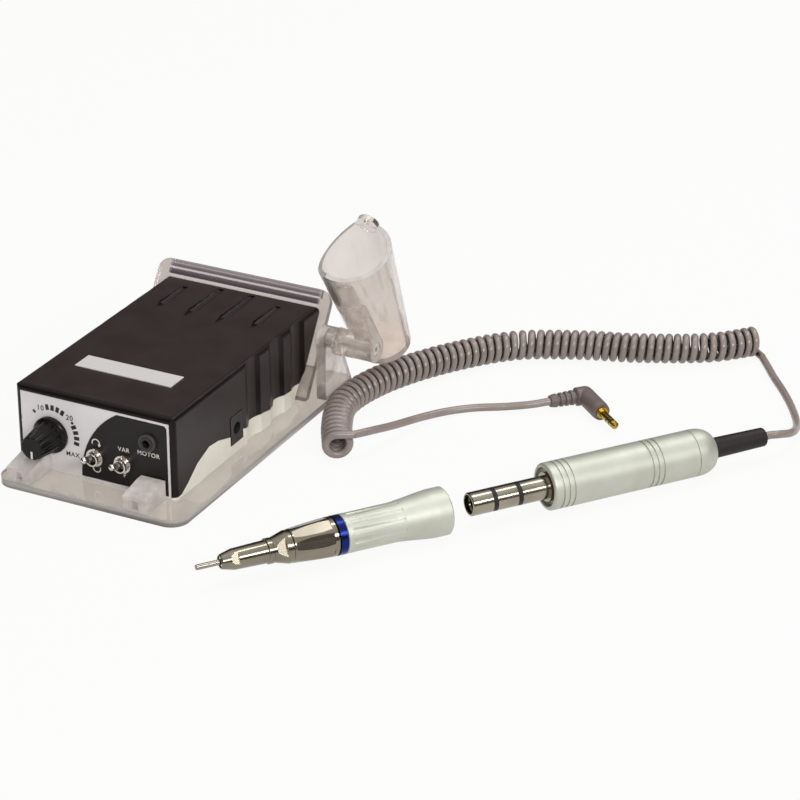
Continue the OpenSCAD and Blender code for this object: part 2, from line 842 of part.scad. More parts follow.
module panel_window() {
    translate([-panel_w / 2 - set_gap, -1, -1])
        cube([panel_w + 2 * set_gap, panel_back_y + 1 + seat_gap, panel_h + 1 + 2 * set_gap]);
}

module charge_window() {
    translate([0, charge_y - charge_w / 2 - set_gap, charge_z - charge_h / 2 - set_gap])
        cube([unit_w, charge_w + 2 * set_gap, charge_h + 2 * set_gap]);
}

// One tapered grip groove along Y, pointed at its front
module grip_groove(length) {
    nose = length * 0.35;
    translate([0, 0, unit_h + groove_w / 2 - groove_depth]) rotate([-90, 0, 0]) union() {
        cylinder(h = nose, r1 = groove_tip_r, r2 = groove_w / 2);
        translate([0, 0, nose - eps]) cylinder(h = length - nose, r1 = groove_w / 2, r2 = groove_w * 0.36);
    }
}

module grip_grooves() {
    for (i = [0 : groove_count - 1]) {
        kind = i == 0 || i == groove_count - 1 ? 0 : 1;
        x = (i - (groove_count - 1) / 2) * groove_pitch + groove_shift_x;
        translate([x, unit_d - groove_front - groove_back[kind], 0]) grip_groove(groove_len[kind]);
    }
}

module side_flutes() {
    x = unit_w / 2 + flute_r - flute_depth;
    for (side = [-1, 1], back = flute_back)
        translate([side * x, unit_d - back, -1]) cylinder(h = far, r = flute_r);
}

module upper_cover() {
    color(black) at_unit() difference() {
        union() {
            difference() {
                case_form(0, 0);
                case_form(case_wall, -1);
                below_skirt(0);
            }
            for (p = screw_places) translate([p[0], p[1], boss_split])
                cylinder(h = unit_h - case_wall / 2 - boss_split, r = boss_r);
        }
        panel_window();
        charge_window();
        grip_grooves();
        side_flutes();
        for (p = screw_places) translate([p[0], p[1], boss_split - 1])
            cylinder(h = thread_depth + 2, r = case_screw_r + thread_gap);
    }
}

module case_tongue() {
    intersection() {
        difference() {
            case_form(case_wall + set_gap, case_wall / 2);
            case_form(case_wall + set_gap + tongue_t, -1);
        }
        translate([-unit_w, board_y[0], 0]) cube([2 * unit_w, far, tongue_top]);
    }
}

module lower_case() {
    rib_x = panel_w / 2 - rib_in;
    board_mid = (board_y[0] + board_y[1]) / 2;
    color(white) at_unit() difference() {
        union() {
            difference() {
                intersection() {
                    case_form(0, 0);
                    below_skirt(parting_gap);
                }
                case_form(case_wall, case_wall);
                side_flutes();
            }
            case_tongue();
            for (p = screw_places) translate([p[0], p[1], case_wall / 2])
                cylinder(h = boss_split - set_gap - case_wall / 2, r = case_boss_r);
            for (side = [-1, 1]) {
                translate([side * rib_x - rib_w / 2, panel_back_y, case_wall / 2])
                    cube([rib_w, rib_t, panel_h - rib_low]);
                for (y = board_y)
                    translate([side * (board_half_w - post_in), (y + board_mid) / 2, case_wall / 2])
                        cylinder(h = board_z - case_wall / 2, r = post_r);
            }
        }
        panel_window();
        charge_window();
        for (p = screw_places) translate([p[0], p[1], -1]) {
            cylinder(h = far, r = case_screw_r + case_screw_play);
            cylinder(h = case_head_z + case_head_h + 1 + thread_gap, r = case_head_r + head_gap);
        }
    }
}

module front_panel() {
    color(white) at_unit() difference() {
        translate([-panel_w / 2, panel_recess, set_gap]) cube([panel_w, panel_t, panel_h]);
        y_bar(-1, far, knob_x, knob_z, control_hole_r);
        for (x = [direction_x, mode_x]) y_bar(-1, far, x, toggle_z, toggle_bush_r + set_gap);
        y_bar(-1, far, socket_x, socket_z, toggle_bush_r + set_gap);
    }
}

// Black film on the right of the panel, with its curved left edge
module panel_film() {
    right = panel_w / 2 - film_margin;
    top = panel_h + set_gap - film_margin;
    foot = set_gap + film_margin;
    sweep = asin((top - foot) / film_arc_r);
    film_outline = concat(
        arc(film_left + film_arc_r, foot, film_arc_r, 180, 180 - sweep, 12),
        arc(right - film_corner_r, top - film_corner_r, film_corner_r, 90, 0), [[right, foot]]);
    color(black) at_unit() difference() {
        along_y(film_front_y, panel_recess) polygon(film_outline);
        for (x = [direction_x, mode_x]) y_bar(-1, far, x, toggle_z, toggle_bush_r + set_gap);
        y_bar(-1, far, socket_x, socket_z, toggle_bush_r + set_gap);
    }
}

module label_plate() {
    color(metal) at_unit() translate([-label_w / 2 + label_shift_x, label_y, unit_h])
        cube([label_w, label_d, label_t]);
}

module circuit_board() {
    color("#2f5b3a") at_unit() translate([-board_half_w, board_y[0], board_z]) {
        cube([2 * board_half_w, board_y[1] - board_y[0], board_t]);
        for (chip = board_chips) translate([chip[0][0], chip[0][1], board_t - eps]) cube(chip[1]);
    }
}

module cell_bars(r, y0, y1) {
    for (side = [-1, 1]) y_bar(y0, y1, cell_mid_x + side * cell_pitch / 2, cell_z, r);
}

module battery_cradle() {
    half = cell_pitch / 2 + cell_r + cradle_wall;
    color("#3a3a3c") at_unit() difference() {
        translate([cell_mid_x - half, cell_y0 + cradle_in, case_wall])
            cube([2 * half, cell_y1 - cell_y0 - 2 * cradle_in, cradle_h]);
        cell_bars(cell_r + set_gap, cell_y0, cell_y1);
    }
}

module battery_cells() {
    color("#3f6fa8") at_unit() {
        cell_bars(cell_r, cell_y0, cell_y1 - cell_cap_h);
        cell_bars(cell_cap_r, cell_y1 - cell_cap_h - eps, cell_y1);
    }
}

module case_screws() {
    color(metal) at_unit() for (p = screw_places) translate([p[0], p[1], case_head_z]) difference() {
        union() {
            cylinder(h = case_head_h, r = case_head_r);
            cylinder(h = case_screw_len, r = case_screw_r);
        }
        translate([0, 0, -hex_depth]) cylinder(h = 2 * hex_depth, r = hex_r, $fn = 6);
    }
}

// Controls

module speed_control() {
    back = panel_back_y + control_depth;
    color(metal) at_unit() difference() {
        union() {
            y_bar(panel_back_y, back, knob_x, knob_z, control_r);
            y_bar(-control_bush_out, panel_back_y + control_back, knob_x, knob_z, control_bush_r);
        }
        y_bar(-far, back - control_back, knob_x, knob_z, shaft_r + running_gap);
    }
}

module control_nut() {
    color(metal) at_unit() difference() {
        translate([knob_x, panel_recess, knob_z]) rotate([90, 0, 0])
            cylinder(h = nut_t, r = control_nut_r, $fn = 6);
        y_bar(-far, far, knob_x, knob_z, control_bush_r + thread_gap);
    }
}

// Knob frame: Z runs out of the panel, the pointer lies towards -Y of the frame, which is down
module at_knob() {
    at_unit() translate([knob_x, panel_recess - knob_gap, knob_z]) rotate([90, 0, 0]) children();
}

module pointer_bar(clearance) {
    translate([-pointer_w / 2 - clearance, -knob_face_r + pointer_edge, knob_len - pointer_t - clearance])
        cube([pointer_w + 2 * clearance, knob_face_r - pointer_edge - pointer_inner, pointer_t + 1]);
}

module speed_knob() {
    taper = atan((knob_base_r - knob_face_r) / (knob_len - knob_foot));
    profile = concat(
        [[0, 0], [knob_skirt_r, 0], [knob_skirt_r, knob_skirt_t],
            [knob_skirt_r - knob_skirt_edge, knob_skirt_t + knob_skirt_edge], [knob_base_r, knob_foot]],
        arc(knob_face_r - knob_edge_r, knob_len - knob_edge_r, knob_edge_r, 0, 90, 5), [[0, knob_len]]);
    color(black) at_knob() difference() {
        rotate_extrude() polygon(profile);
        translate([0, 0, -1]) cylinder(h = knob_cavity_depth + 1, r = knob_cavity_r);
        translate([0, 0, -1]) cylinder(h = knob_len - knob_face_t + 1, r = shaft_r + thread_gap);
        for (i = [0 : knob_flutes - 1]) rotate([0, 0, 360 * (i + 0.5) / knob_flutes])
            translate([knob_base_r + knob_flute_out, 0, knob_flute_at]) rotate([0, -taper, 0])
                cylinder(h = knob_len, r = knob_flute_r);
        pointer_bar(thread_gap);
    }
}

module knob_pointer() {
    color(white) at_knob() intersection() {
        pointer_bar(0);
        cylinder(h = knob_len, r = knob_face_r);
    }
}

module control_shaft() {
    shaft_len = shaft_back + knob_len - knob_face_t - shaft_end_gap;
    color(metal) at_knob() difference() {
        translate([0, 0, -shaft_back]) cylinder(h = shaft_len, r = shaft_r);
        translate([shaft_r * shaft_flat, -shaft_r, knob_cavity_depth]) cube([shaft_r, 2 * shaft_r, knob_len]);
    }
}

module toggle_switch(x) {
    body_end = panel_back_y + toggle_body[1];
    color(metal) at_unit() difference() {
        union() {
            translate([x - toggle_body[0] / 2, panel_back_y, toggle_z - toggle_body[2] / 2])
                cube(toggle_body);
            y_bar(-bush_out, panel_back_y + 1, x, toggle_z, toggle_bush_r);
            for (i = [-1 : 1])
                translate([x - toggle_tag[0] / 2, body_end - eps,
                    toggle_z + toggle_tag_pitch * i - toggle_tag[2] / 2])
                    cube(toggle_tag);
        }
        y_bar(-far, panel_back_y + toggle_bore_past, x, toggle_z, toggle_bore_r);
    }
}

module direction_switch() {
    toggle_switch(direction_x);
}

module mode_switch() {
    toggle_switch(mode_x);
}

module toggle_nuts() {
    front = film_front_y - nut_t;
    color(bright) at_unit() for (x = [direction_x, mode_x]) difference() {
        y_bar(front, film_front_y, x, toggle_z, toggle_bush_r + nut_wall);
        y_bar(-far, far, x, toggle_z, toggle_bush_r + thread_gap);
        translate([x - nut_slot_w / 2, front + nut_slot_depth - far, toggle_z - far / 2])
            cube([nut_slot_w, far, far]);
    }
}

// Lever at rest in its upper place, on the cross pin through its ball
module toggle_lever(x) {
    at_pin = [x, toggle_pivot_y, toggle_z];
    color(bright) at_unit() translate(at_pin) rotate([90 - toggle_tilt, 0, 0]) union() {
        sphere(r = toggle_ball_r);
        x_bar(-toggle_pin_half, toggle_pin_half, 0, 0, toggle_pin_r);
        cylinder(h = toggle_len - toggle_tip_r, r1 = toggle_root_r, r2 = toggle_tip_r);
        translate([0, 0, toggle_len - toggle_tip_r]) sphere(r = toggle_tip_r);
    }
}

module direction_lever() {
    toggle_lever(direction_x);
}

module mode_lever() {
    toggle_lever(mode_x);
}

module motor_socket() {
    front = film_front_y - nut_t;
    color(black) at_unit() difference() {
        union() {
            translate([socket_x - socket_body[0] / 2, panel_back_y, socket_z - socket_body[2] / 2])
                cube(socket_body);
            y_bar(front, panel_back_y + 1, socket_x, socket_z, toggle_bush_r);
        }
        y_bar(-far, front + socket_depth, socket_x, socket_z, socket_bore_r);
    }
}

module socket_nut() {
    front = film_front_y - nut_t + socket_nut_in;
    color("#3c3a39") at_unit() difference() {
        y_bar(front, film_front_y, socket_x, socket_z, toggle_bush_r + socket_nut_wall);
        y_bar(-far, far, socket_x, socket_z, toggle_bush_r + thread_gap);
    }
}

module charge_socket() {
    face_x = unit_w / 2 + charge_proud;
    body = [charge_depth + charge_back, charge_w, charge_h];
    color(black) at_unit() difference() {
        translate([face_x - body[0], charge_y - charge_w / 2, charge_z - charge_h / 2]) cube(body);
        x_bar(face_x - charge_depth, far, charge_y, charge_z, charge_bore_r);
    }
}

// Motor, drawn in a frame whose Z runs back along the tool axis from the housing's front face

module at_tool() {
    reach = motor_len + part_gap + boot_len;
    translate([boot_end[0] - reach * cos(tool_angle), boot_end[1] - reach * sin(tool_angle), tool_z])
        rotate([0, 0, tool_angle]) rotate([0, 90, 0]) children();
}

// Group of shallow rings turned into a round bar
module ring_cuts(start, r) {
    for (i = [0 : turned_count - 1]) let (z = start + i * turned_pitch)
        tube(z - turned_w / 2, z + turned_w / 2, r + 1, r - turned_depth);
}

module motor_housing() {
    outside = motor_d / 2;
    hole_r = collar_r + running_gap;
    color(metal) at_tool() difference() {
        rotate_extrude() polygon(concat(
            [[hole_r, recess_depth], [recess_r, recess_depth], [recess_r, 0]],
            arc(outside - rim_round, rim_round, rim_round, -90, 0, 5),
            [[outside, housing_len], [housing_in_r, housing_len], [housing_in_r, front_wall],
                [hole_r, front_wall]]));
        ring_cuts(turned_front, outside);
        ring_cuts(housing_len - turned_rear, outside);
    }
}

module motor_rear_cap() {
    start = housing_len + part_gap;
    outside = motor_d / 2;
    seat_r = bearing_r + running_gap;
    seat_end = rear_bearing_z + bearing_w + part_gap;
    lead_z = rear_bearing_z - cap_seat_lead;
    hollow_end = motor_len - cap_end_wall;
    color(metal) at_tool() rotate_extrude() polygon(concat(
        [[cap_bore_r, motor_len], [cap_bore_r, hollow_end], [cap_hollow_r, hollow_end],
            [cap_hollow_r, seat_end], [seat_r, seat_end], [seat_r, lead_z], [flange_r, lead_z],
            [flange_r, start], [outside, start]],
        [for (a = [0 : 9 : 90])
            [outside - cap_round * (1 - cos(a)), motor_len - cap_dome * (1 - sin(a))]]));
}

module coupling_nose() {
    flange_front = front_wall + seat_gap;
    flange_back = flange_z + bearing_w + seat_gap;
    seat_r = bearing_r + running_gap;
    mouth_r = nose_r - nose_edge - nose_lip;
    color(bright) at_tool() difference() {
        rotate_extrude() polygon([[nose_hollow_r, -nose_len + nose_mouth], [mouth_r, -nose_len + nose_mouth],
            [mouth_r, -nose_len], [nose_r - nose_edge, -nose_len],
            [nose_r, -nose_len + nose_edge], [nose_r, 0], [collar_r, 0], [collar_r, flange_front],
            [flange_r, flange_front], [flange_r, flange_back], [seat_r, flange_back], [seat_r, flange_z],
            [nose_hollow_r, flange_z]]);
        for (i = [0, 1]) let (z = -nose_len + ring_first + i * ring_step)
            tube(z - ring_w / 2 - ring_sink, z + ring_w / 2 + ring_sink, nose_r + 1, nose_r - ring_depth);
    }
}

module nose_rings() {
    color(rubber) at_tool() for (i = [0, 1]) let (z = -nose_len + ring_first + i * ring_step)
        tube(z - ring_w / 2, z + ring_w / 2, nose_r - ring_sink, nose_r - ring_depth + ring_sink);
}

module stator_magnet() {
    color("#4a4a4d") at_tool() tube(magnet_z[0], magnet_z[1], flange_r, flange_r - magnet_t);
}

module motor_bearings() {
    color(metal) at_tool() for (z = [flange_z + seat_gap, rear_bearing_z])
        tube(z, z + bearing_w, bearing_r, rotor_shaft_r + running_gap);
}

module brush_slots(clearance) {
    mid = (brush_z[0] + brush_z[1]) / 2;
    size = [brush_reach + 2 * clearance, brush_w + 2 * clearance, brush_h + 2 * clearance];
    for (turn = [0, 180]) rotate([0, 0, turn])
        translate([brush_in_r - clearance, -size[1] / 2, mid - size[2] / 2]) cube(size);
}

module brush_holder() {
    color("#6b4a34") at_tool() difference() {
        tube(brush_z[0], brush_z[1], flange_r, brush_hole_r);
        brush_slots(running_gap);
    }
}

module carbon_brushes() {
    color("#29292b") at_tool() brush_slots(0);
}

module rotor_shaft() {
    color(metal) at_tool() translate([0, 0, rotor_front])
        cylinder(h = rotor_back - rotor_front, r = rotor_shaft_r);
}

module rotor_core() {
    core_r = flange_r - magnet_t - core_gap;
    color("#8a5a3a") at_tool() difference() {
        tube(magnet_z[0] + core_front, magnet_z[1] - core_back, core_r, rotor_shaft_r + thread_gap);
        for (i = [0 : core_slots - 1]) rotate([0, 0, 360 * i / core_slots])
            translate([core_r - core_slot[0], -core_slot[1] / 2, 0])
                cube([2 * core_slot[0], core_slot[1], far]);
    }
}

module commutator() {
    front = magnet_z[1] - core_back + commutator_over;
    back = brush_z[1] - commutator_over;
    color("#b5733f") at_tool() tube(front, back, commutator_r, rotor_shaft_r + thread_gap);
}

// Slotted dog on the rotor shaft, inside the hollow nose
module drive_dog() {
    dog_front = -nose_len + dog_at;
    dog_r = nose_hollow_r - dog_gap;
    color(metal) at_tool() difference() {
        translate([0, 0, dog_front]) cylinder(h = dog_len, r = dog_r);
        translate([0, 0, rotor_front]) cylinder(h = far, r = rotor_shaft_r + thread_gap);
        translate([-nose_r, -dog_slot[0] / 2, dog_front - 1]) cube([nose_d, dog_slot[0], dog_slot[1] + 1]);
    }
}

module cord_boot() {
    start = motor_len + part_gap;
    plug_r = cap_bore_r - seat_gap;
    end_r = boot_r - boot_end_in - boot_round;
    color(rubber) at_tool() rotate_extrude() polygon(concat(
        [[0, motor_len - boot_in], [plug_r, motor_len - boot_in], [plug_r, start], [boot_r, start]],
        arc(end_r, start + boot_len - boot_round, boot_round, 0, 90, 5), [[0, start + boot_len]]));
}

// Handpiece, drawn in the same frame shifted so that Z is the distance behind its tip

module at_hand() {
    at_tool() translate([0, 0, hand_tip_z]) children();
}

// Pair of flats for a spanner on a round piece
module spanner_flats(half, mid, length) {
    for (turn = [spanner_turn, spanner_turn + 180]) rotate([0, 0, turn])
        translate([half, -hand_r, mid - length / 2]) cube([hand_r, 2 * hand_r, length]);
}

module nose_cone() {
    step_r = nose_end_r + step_proud;
    shoulder_r = chuck_front_r - shoulder_in;
    shoulder_at = chuck_at - part_gap;
    front_seat = [front_bearing_at - seat_gap, front_bearing_at + hand_bearing_w + seat_gap];
    rear_seat = rear_bearing_at - seat_gap;
    step_end = step_at + step_w;
    slope_mid = (step_end + shoulder_at - shoulder_w) / 2;
    slope_mid_r = (step_r - edge_cut + shoulder_r) / 2;
    color(bright) at_hand() difference() {
        rotate_extrude() polygon([[nose_bore_r, 0],
            [tip_r - edge_cut, 0], [tip_r, tip_cut], [nose_mid_r, nose_mid_at],
            [nose_end_r, step_at], [step_r, step_at + edge_cut],
            [step_r, step_end - edge_cut], [step_r - edge_cut, step_end],
            [shoulder_r, shoulder_at - shoulder_w], [shoulder_r, shoulder_at],
            [tail_r, shoulder_at], [tail_r, tail_end], [tail_hollow_r, tail_end],
            [tail_hollow_r, rear_seat], [nose_hollow_mid_r, rear_seat], [nose_hollow_mid_r, front_seat[1]],
            [bearing_seat_r, front_seat[1]], [bearing_seat_r, front_seat[0]], [nose_bore_r, front_seat[0]]]);
        spanner_flats(nose_mid_r - spanner_depth[0], nose_mid_at, spanner_len[0]);
        spanner_flats(slope_mid_r - spanner_depth[1], slope_mid, spanner_len[1]);
    }
}

// Chuck ring with lengthwise flats
module chuck_ring() {
    flat_slope = atan((hand_r - chuck_front_r) / chuck_len);
    barrel_len = chuck_len - chuck_edge - chuck_rear_edge;
    barrel = [for (i = [0 : 8]) let (t = i / 8)
        [chuck_front_r + (hand_r - chuck_front_r) * sin(90 * t), chuck_edge + barrel_len * t]];
    hole_r = tail_r + running_gap;
    color(bright) at_hand() translate([0, 0, chuck_at]) difference() {
        rotate_extrude() polygon(concat([[hole_r, 0], [chuck_front_r - chuck_edge, 0]], barrel,
            [[hand_r - chuck_edge, chuck_len], [hole_r, chuck_len]]));
        for (i = [0 : chuck_flats - 1]) rotate([0, 0, 360 * (i + 0.5) / chuck_flats])
            translate([chuck_front_r - flat_in, -flat_w / 2, flat_at]) rotate([0, flat_slope, 0])
                cube([flat_w, flat_w, chuck_len - flat_short]);
    }
}

module colour_ring() {
    color("#27479a") at_hand()
        tube(colour_at, colour_at + colour_w, hand_r + colour_proud, tail_r + thread_gap);
}

// Rear sleeve with its shallow grip flutes, its flare and the bore that takes the coupling nose
module handpiece_sleeve() {
    outside = motor_d / 2;
    flare_end = hand_len - flare_rear;
    flare_at = flare_end - flare_len;
    flare = [for (i = [0 : 10]) let (t = i / 10)
        let (share = (1 - flare_ease) * t + flare_ease * (1 - cos(180 * t)) / 2)
        [hand_r + (outside - hand_r) * share, flare_at + flare_len * t]];
    bore_at = hand_len - bore_depth;
    eased_end = bore_at + eased_len;
    seat_r = tail_r + thread_gap;
    color(metal) at_hand() difference() {
        rotate_extrude() polygon(concat(
            [[seat_r, sleeve_at], [hand_r - edge_cut, sleeve_at], [hand_r, sleeve_at + edge_cut]], flare,
            [[outside, hand_len - rear_cut], [outside - rear_cut, hand_len], [bore_r + mouth_cut, hand_len],
                [bore_r, hand_len - mouth_cut], [bore_r, eased_end + mouth_cut], [eased_r, eased_end],
                [eased_r, bore_at], [seat_r, bore_at - mouth_cut]]));
        for (i = [0 : grip_count - 1]) rotate([0, 0, 360 * i / grip_count])
            translate([hand_r + grip_r - grip_depth, 0, sleeve_at + grip_at]) rotate([0, grip_slope, 0])
                cylinder(h = grip_len, r = grip_r);
    }
}

module handpiece_bearings() {
    color(metal) at_hand() {
        tube(front_bearing_at, front_bearing_at + hand_bearing_w, bearing_seat_r - thread_gap,
            spindle_r + running_gap);
        tube(rear_bearing_at, rear_bearing_at + hand_bearing_w, tail_hollow_r - thread_gap,
            spindle_tail_r + running_gap);
    }
}

module spindle() {
    color(metal) at_hand() difference() {
        union() {
            translate([0, 0, spindle_in]) cylinder(h = spindle_step - spindle_in, r = spindle_r);
            translate([0, 0, spindle_step - eps])
                cylinder(h = spindle_end - spindle_step + eps, r = spindle_tail_r);
        }
        translate([0, 0, -1]) cylinder(h = bur_in + 2, r = bur_r + thread_gap);
    }
}

// Tongued dog at the back of the spindle, which the motor's slotted dog drives
module driven_dog() {
    dog_end = driven_at + driven_len;
    color(metal) at_hand() difference() {
        union() {
            translate([0, 0, driven_at]) cylinder(h = driven_len, r = driven_r);
            translate([-driven_tongue[0] / 2, -driven_tongue[1] / 2, dog_end - eps]) cube(driven_tongue);
        }
        cylinder(h = spindle_end + part_gap, r = spindle_tail_r + thread_gap);
    }
}

module bur_pin() {
    front = -bur_out + bur_edge;
    color(bright) at_hand() rotate_extrude() polygon(concat(
        [[0, bur_in], [bur_r, bur_in], [bur_r, front]], arc(bur_r - bur_edge, front, bur_edge, 0, -90, 4),
        [[0, -bur_out]]));
}

// Cord

function unit_vec(v) = v / norm(v);

// Smooth point between b and c of four route points
function spline_point(a, b, c, d, t) =
    b + 0.5 * t * (c - a + t * (2 * a - 5 * b + 4 * c - d + t * (3 * (b - c) + d - a)));

// Smooth curve through route points, with a number of steps in each span
function spline(p, steps) = let (n = len(p) - 1) concat(
    [for (i = [0 : n - 1], k = [0 : steps - 1]) spline_point(
        i == 0 ? 2 * p[0] - p[1] : p[i - 1], p[i], p[i + 1],
        i == n - 1 ? 2 * p[n] - p[n - 1] : p[i + 2], k / steps)],
    [p[n]]);

// Length run from the first point to each point of a line
function run_lengths(p) = [for (i = 0, s = 0; i < len(p);
    s = s + (i + 1 < len(p) ? norm(p[i + 1] - p[i]) : 0), i = i + 1) s];

// Direction of a line at one of its points
function heading(p, i) = unit_vec(p[min(i + 1, len(p) - 1)] - p[max(i - 1, 0)]);

// Tube of a number of sides swept along a line, each ring turned so that its first side faces a given way
module swept_tube(line, facing, r, sides) {
    rings = [for (i = [0 : len(line) - 1])
        let (t = heading(line, i), u = unit_vec(facing[i] - t * (facing[i] * t)), v = cross(t, u))
        for (k = [0 : sides - 1]) let (a = 360 * k / sides) line[i] + r * (cos(a) * u + sin(a) * v)];
    last = (len(line) - 1) * sides;
    sides_faces = [for (i = [0 : len(line) - 2], k = [0 : sides - 1])
        let (a = i * sides + k, b = i * sides + (k + 1) % sides)
        each [[a, a + sides, b], [b, a + sides, b + sides]]];
    caps = [for (k = [1 : sides - 2]) each [[0, k, k + 1], [last, last + k + 1, last + k]]];
    polyhedron(points = rings, faces = concat(sides_faces, caps));
}

// Coil: a helix wound about the smooth coil route, starting at the top and ending at the bottom
coil_axis = spline(coil_route, 10);
coil_run = run_lengths(coil_axis);
coil_len = coil_run[len(coil_run) - 1];
coil_x_at = [for (i = [0 : len(coil_axis) - 1]) [coil_run[i], coil_axis[i][0]]];
coil_y_at = [for (i = [0 : len(coil_axis) - 1]) [coil_run[i], coil_axis[i][1]]];
function coil_centre(s) = [lookup(s, coil_x_at), lookup(s, coil_y_at), coil_z];
function coil_ahead(s) =
    unit_vec(coil_centre(min(s + cord_d, coil_len)) - coil_centre(max(s - cord_d, 0)));
function coil_left(s) = let (t = coil_ahead(s)) [-t[1], t[0], 0];
curl_rings = 8;
curl_steps = coil_turns * curl_rings + curl_rings / 2;
bend_reach = 6;
// How sharply the coil bends at a run length
function coil_bend(s) = let (a = max(s - bend_reach, 0), b = min(s + bend_reach, coil_len))
    norm(coil_ahead(b) - coil_ahead(a)) / (b - a);
// How closely the turns lie at each point of the route, and the sum of it along the route
coil_close = [for (s = coil_run) 1 / (1 + coil_opening * coil_r * coil_bend(s))];
coil_wound = [for (i = 0, w = 0; i < len(coil_run); w = w + (i + 1 < len(coil_run) ?
    (coil_run[i + 1] - coil_run[i]) * (coil_close[i] + coil_close[i + 1]) / 2 : 0), i = i + 1) w];
coil_wound_at = [for (i = [0 : len(coil_run) - 1]) [coil_wound[i], coil_run[i]]];
// Run length at which one of the steps of the turns lies
function curl_run(j) = lookup(coil_wound[len(coil_wound) - 1] * j / curl_steps, coil_wound_at);
function curl_facing(j) = let (a = 360 * j / curl_rings, s = curl_run(j))
    cos(a) * [0, 0, 1] + sin(a) * coil_left(s);
function curl_point(j) = coil_centre(curl_run(j)) + coil_r * curl_facing(j);
curl_line = [for (j = [0 : curl_steps]) curl_point(j)];
curl_start = curl_line[0] - cord_d * coil_left(0);
curl_end = curl_line[curl_steps] - cord_d * coil_left(coil_len);
near_steps = [6 : 12];
coil_gap = min([for (j = [0 : curl_steps - 12], k = near_steps)
    norm(curl_line[j] - curl_line[j + k])]) - cord_d;
echo(least_gap_between_turns = coil_gap);

module cord_coil() {
    line = concat([curl_start], curl_line, [curl_end]);
    facing = concat([[0, 0, 1]], [for (j = [0 : curl_steps]) curl_facing(j)], [[0, 0, -1]]);
    color(cord_grey) swept_tube(line, facing, cord_r, 6);
}

// Free lead along a smooth route, square to what it meets at both ends
module lead(first, route, last, first_way, last_way) {
    stub = cord_d;
    between = concat([first + stub * first_way], route, [last - stub * last_way]);
    line = concat([first], spline(between, 3), [last]);
    color(cord_grey) swept_tube(line, [for (p = line) [0, 0, 1]], cord_r, 8);
}

module motor_lead() {
    lead([boot_end[0], boot_end[1], tool_z], motor_lead_route, curl_end,
        [cos(tool_angle), sin(tool_angle), 0], coil_left(coil_len));
}

module plug_lead() {
    back = plug_angle + 90;
    entry = [plug_elbow[0] - plug_tail * cos(back), plug_elbow[1] - plug_tail * sin(back), plug_z];
    lead(curl_start, plug_lead_route, entry, -coil_left(0), [cos(back), sin(back), 0]);
}

// Plug, drawn in a frame at its elbow whose Z runs out along the metal pin

module at_plug() {
    translate([plug_elbow[0], plug_elbow[1], plug_z]) rotate([0, 0, plug_angle]) rotate([0, 90, 0])
        children();
}

module plug_body() {
    tail_profile = concat(
        [[0, -plug_tail], [tail_entry_r, -plug_tail], [tail_foot[0], -plug_tail + tail_foot[1]]],
        [for (i = [0 : rib_count - 1]) let (z = -plug_tail + rib_at + i * rib_step, r = rib_r + rib_grow * i)
            each [[r, z], [r - rib_cut, z + rib_gap[0]], [r - rib_cut, z + rib_gap[1]], [r, z + rib_gap[2]]]],
        [[plug_body_r, -plug_body_r], [plug_body_r, 0], [0, 0]]);
    color(cord_grey) at_plug() union() {
        rotate([-90, 0, 0]) rotate_extrude() polygon(tail_profile);
        sphere(r = plug_body_r);
        rotate_extrude() polygon([[0, 0], [plug_body_r, 0], [plug_body_r, plug_nose - plug_nose_cut[1]],
            [plug_body_r - plug_nose_cut[0], plug_nose], [0, plug_nose]]);
    }
}

// Sleeve, ring and tip contacts of the pin
module plug_contacts() {
    ring_at = plug_nose + pin_len * contact_shares[0];
    tip_at = plug_nose + pin_len * contact_shares[1];
    end = plug_nose + pin_len;
    tip = [[1, 2.9], [0.74, 2.2], [0.97, 1.2], [0.49, 0.2]];
    color(gold) at_plug() {
        translate([0, 0, plug_nose]) cylinder(h = pin_collar[1], r = pin_r + pin_collar[0]);
        translate([0, 0, plug_nose]) cylinder(h = ring_at - contact_gap - plug_nose, r = pin_r);
        translate([0, 0, ring_at]) cylinder(h = tip_at - ring_at - contact_gap, r = pin_r);
        rotate_extrude() polygon(concat([[0, tip_at], [pin_r, tip_at]],
            [for (p = tip) [pin_r * p[0], end - p[1]]], [[pin_r * 0.17, end], [0, end]]));
    }
}

module plug_insulators() {
    color(rubber) at_plug() for (share = contact_shares)
        translate([0, 0, plug_nose + pin_len * share - contact_gap])
            cylinder(h = contact_gap, r = pin_r - contact_sink);
}

stand_plate();
back_wall();
front_stops();
holder_bracket();
pivot_screw();
pivot_nut();
holder_cup();
holder_arm();
upper_cover();
lower_case();
front_panel();
panel_film();
label_plate();
circuit_board();
battery_cradle();
battery_cells();
case_screws();
speed_control();
control_nut();
speed_knob();
knob_pointer();
control_shaft();
direction_switch();
mode_switch();
toggle_nuts();
direction_lever();
mode_lever();
motor_socket();
socket_nut();
charge_socket();
motor_housing();
motor_rear_cap();
coupling_nose();
nose_rings();
stator_magnet();
motor_bearings();
brush_holder();
carbon_brushes();
rotor_shaft();
rotor_core();
commutator();
drive_dog();
cord_boot();
motor_lead();
cord_coil();
plug_lead();
plug_body();
plug_contacts();
plug_insulators();
nose_cone();
handpiece_sleeve();
colour_ring();
handpiece_bearings();
chuck_ring();
spindle();
driven_dog();
bur_pin();
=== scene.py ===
"""Portable micromotor set: control unit in a clear stand, motor on a coiled cord, straight handpiece.

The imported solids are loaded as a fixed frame. This script lays the cord, dresses the solids with finishes,
prints the panel and sets up the studio. Lengths are metres in the frame of the solids, or millimetres where
a name or docstring says so.
"""
from __future__ import annotations

import bisect
import json
import logging
import math
from collections.abc import Callable
from dataclasses import dataclass, field, replace
from enum import Enum

import bpy
from mathutils import Matrix, Vector

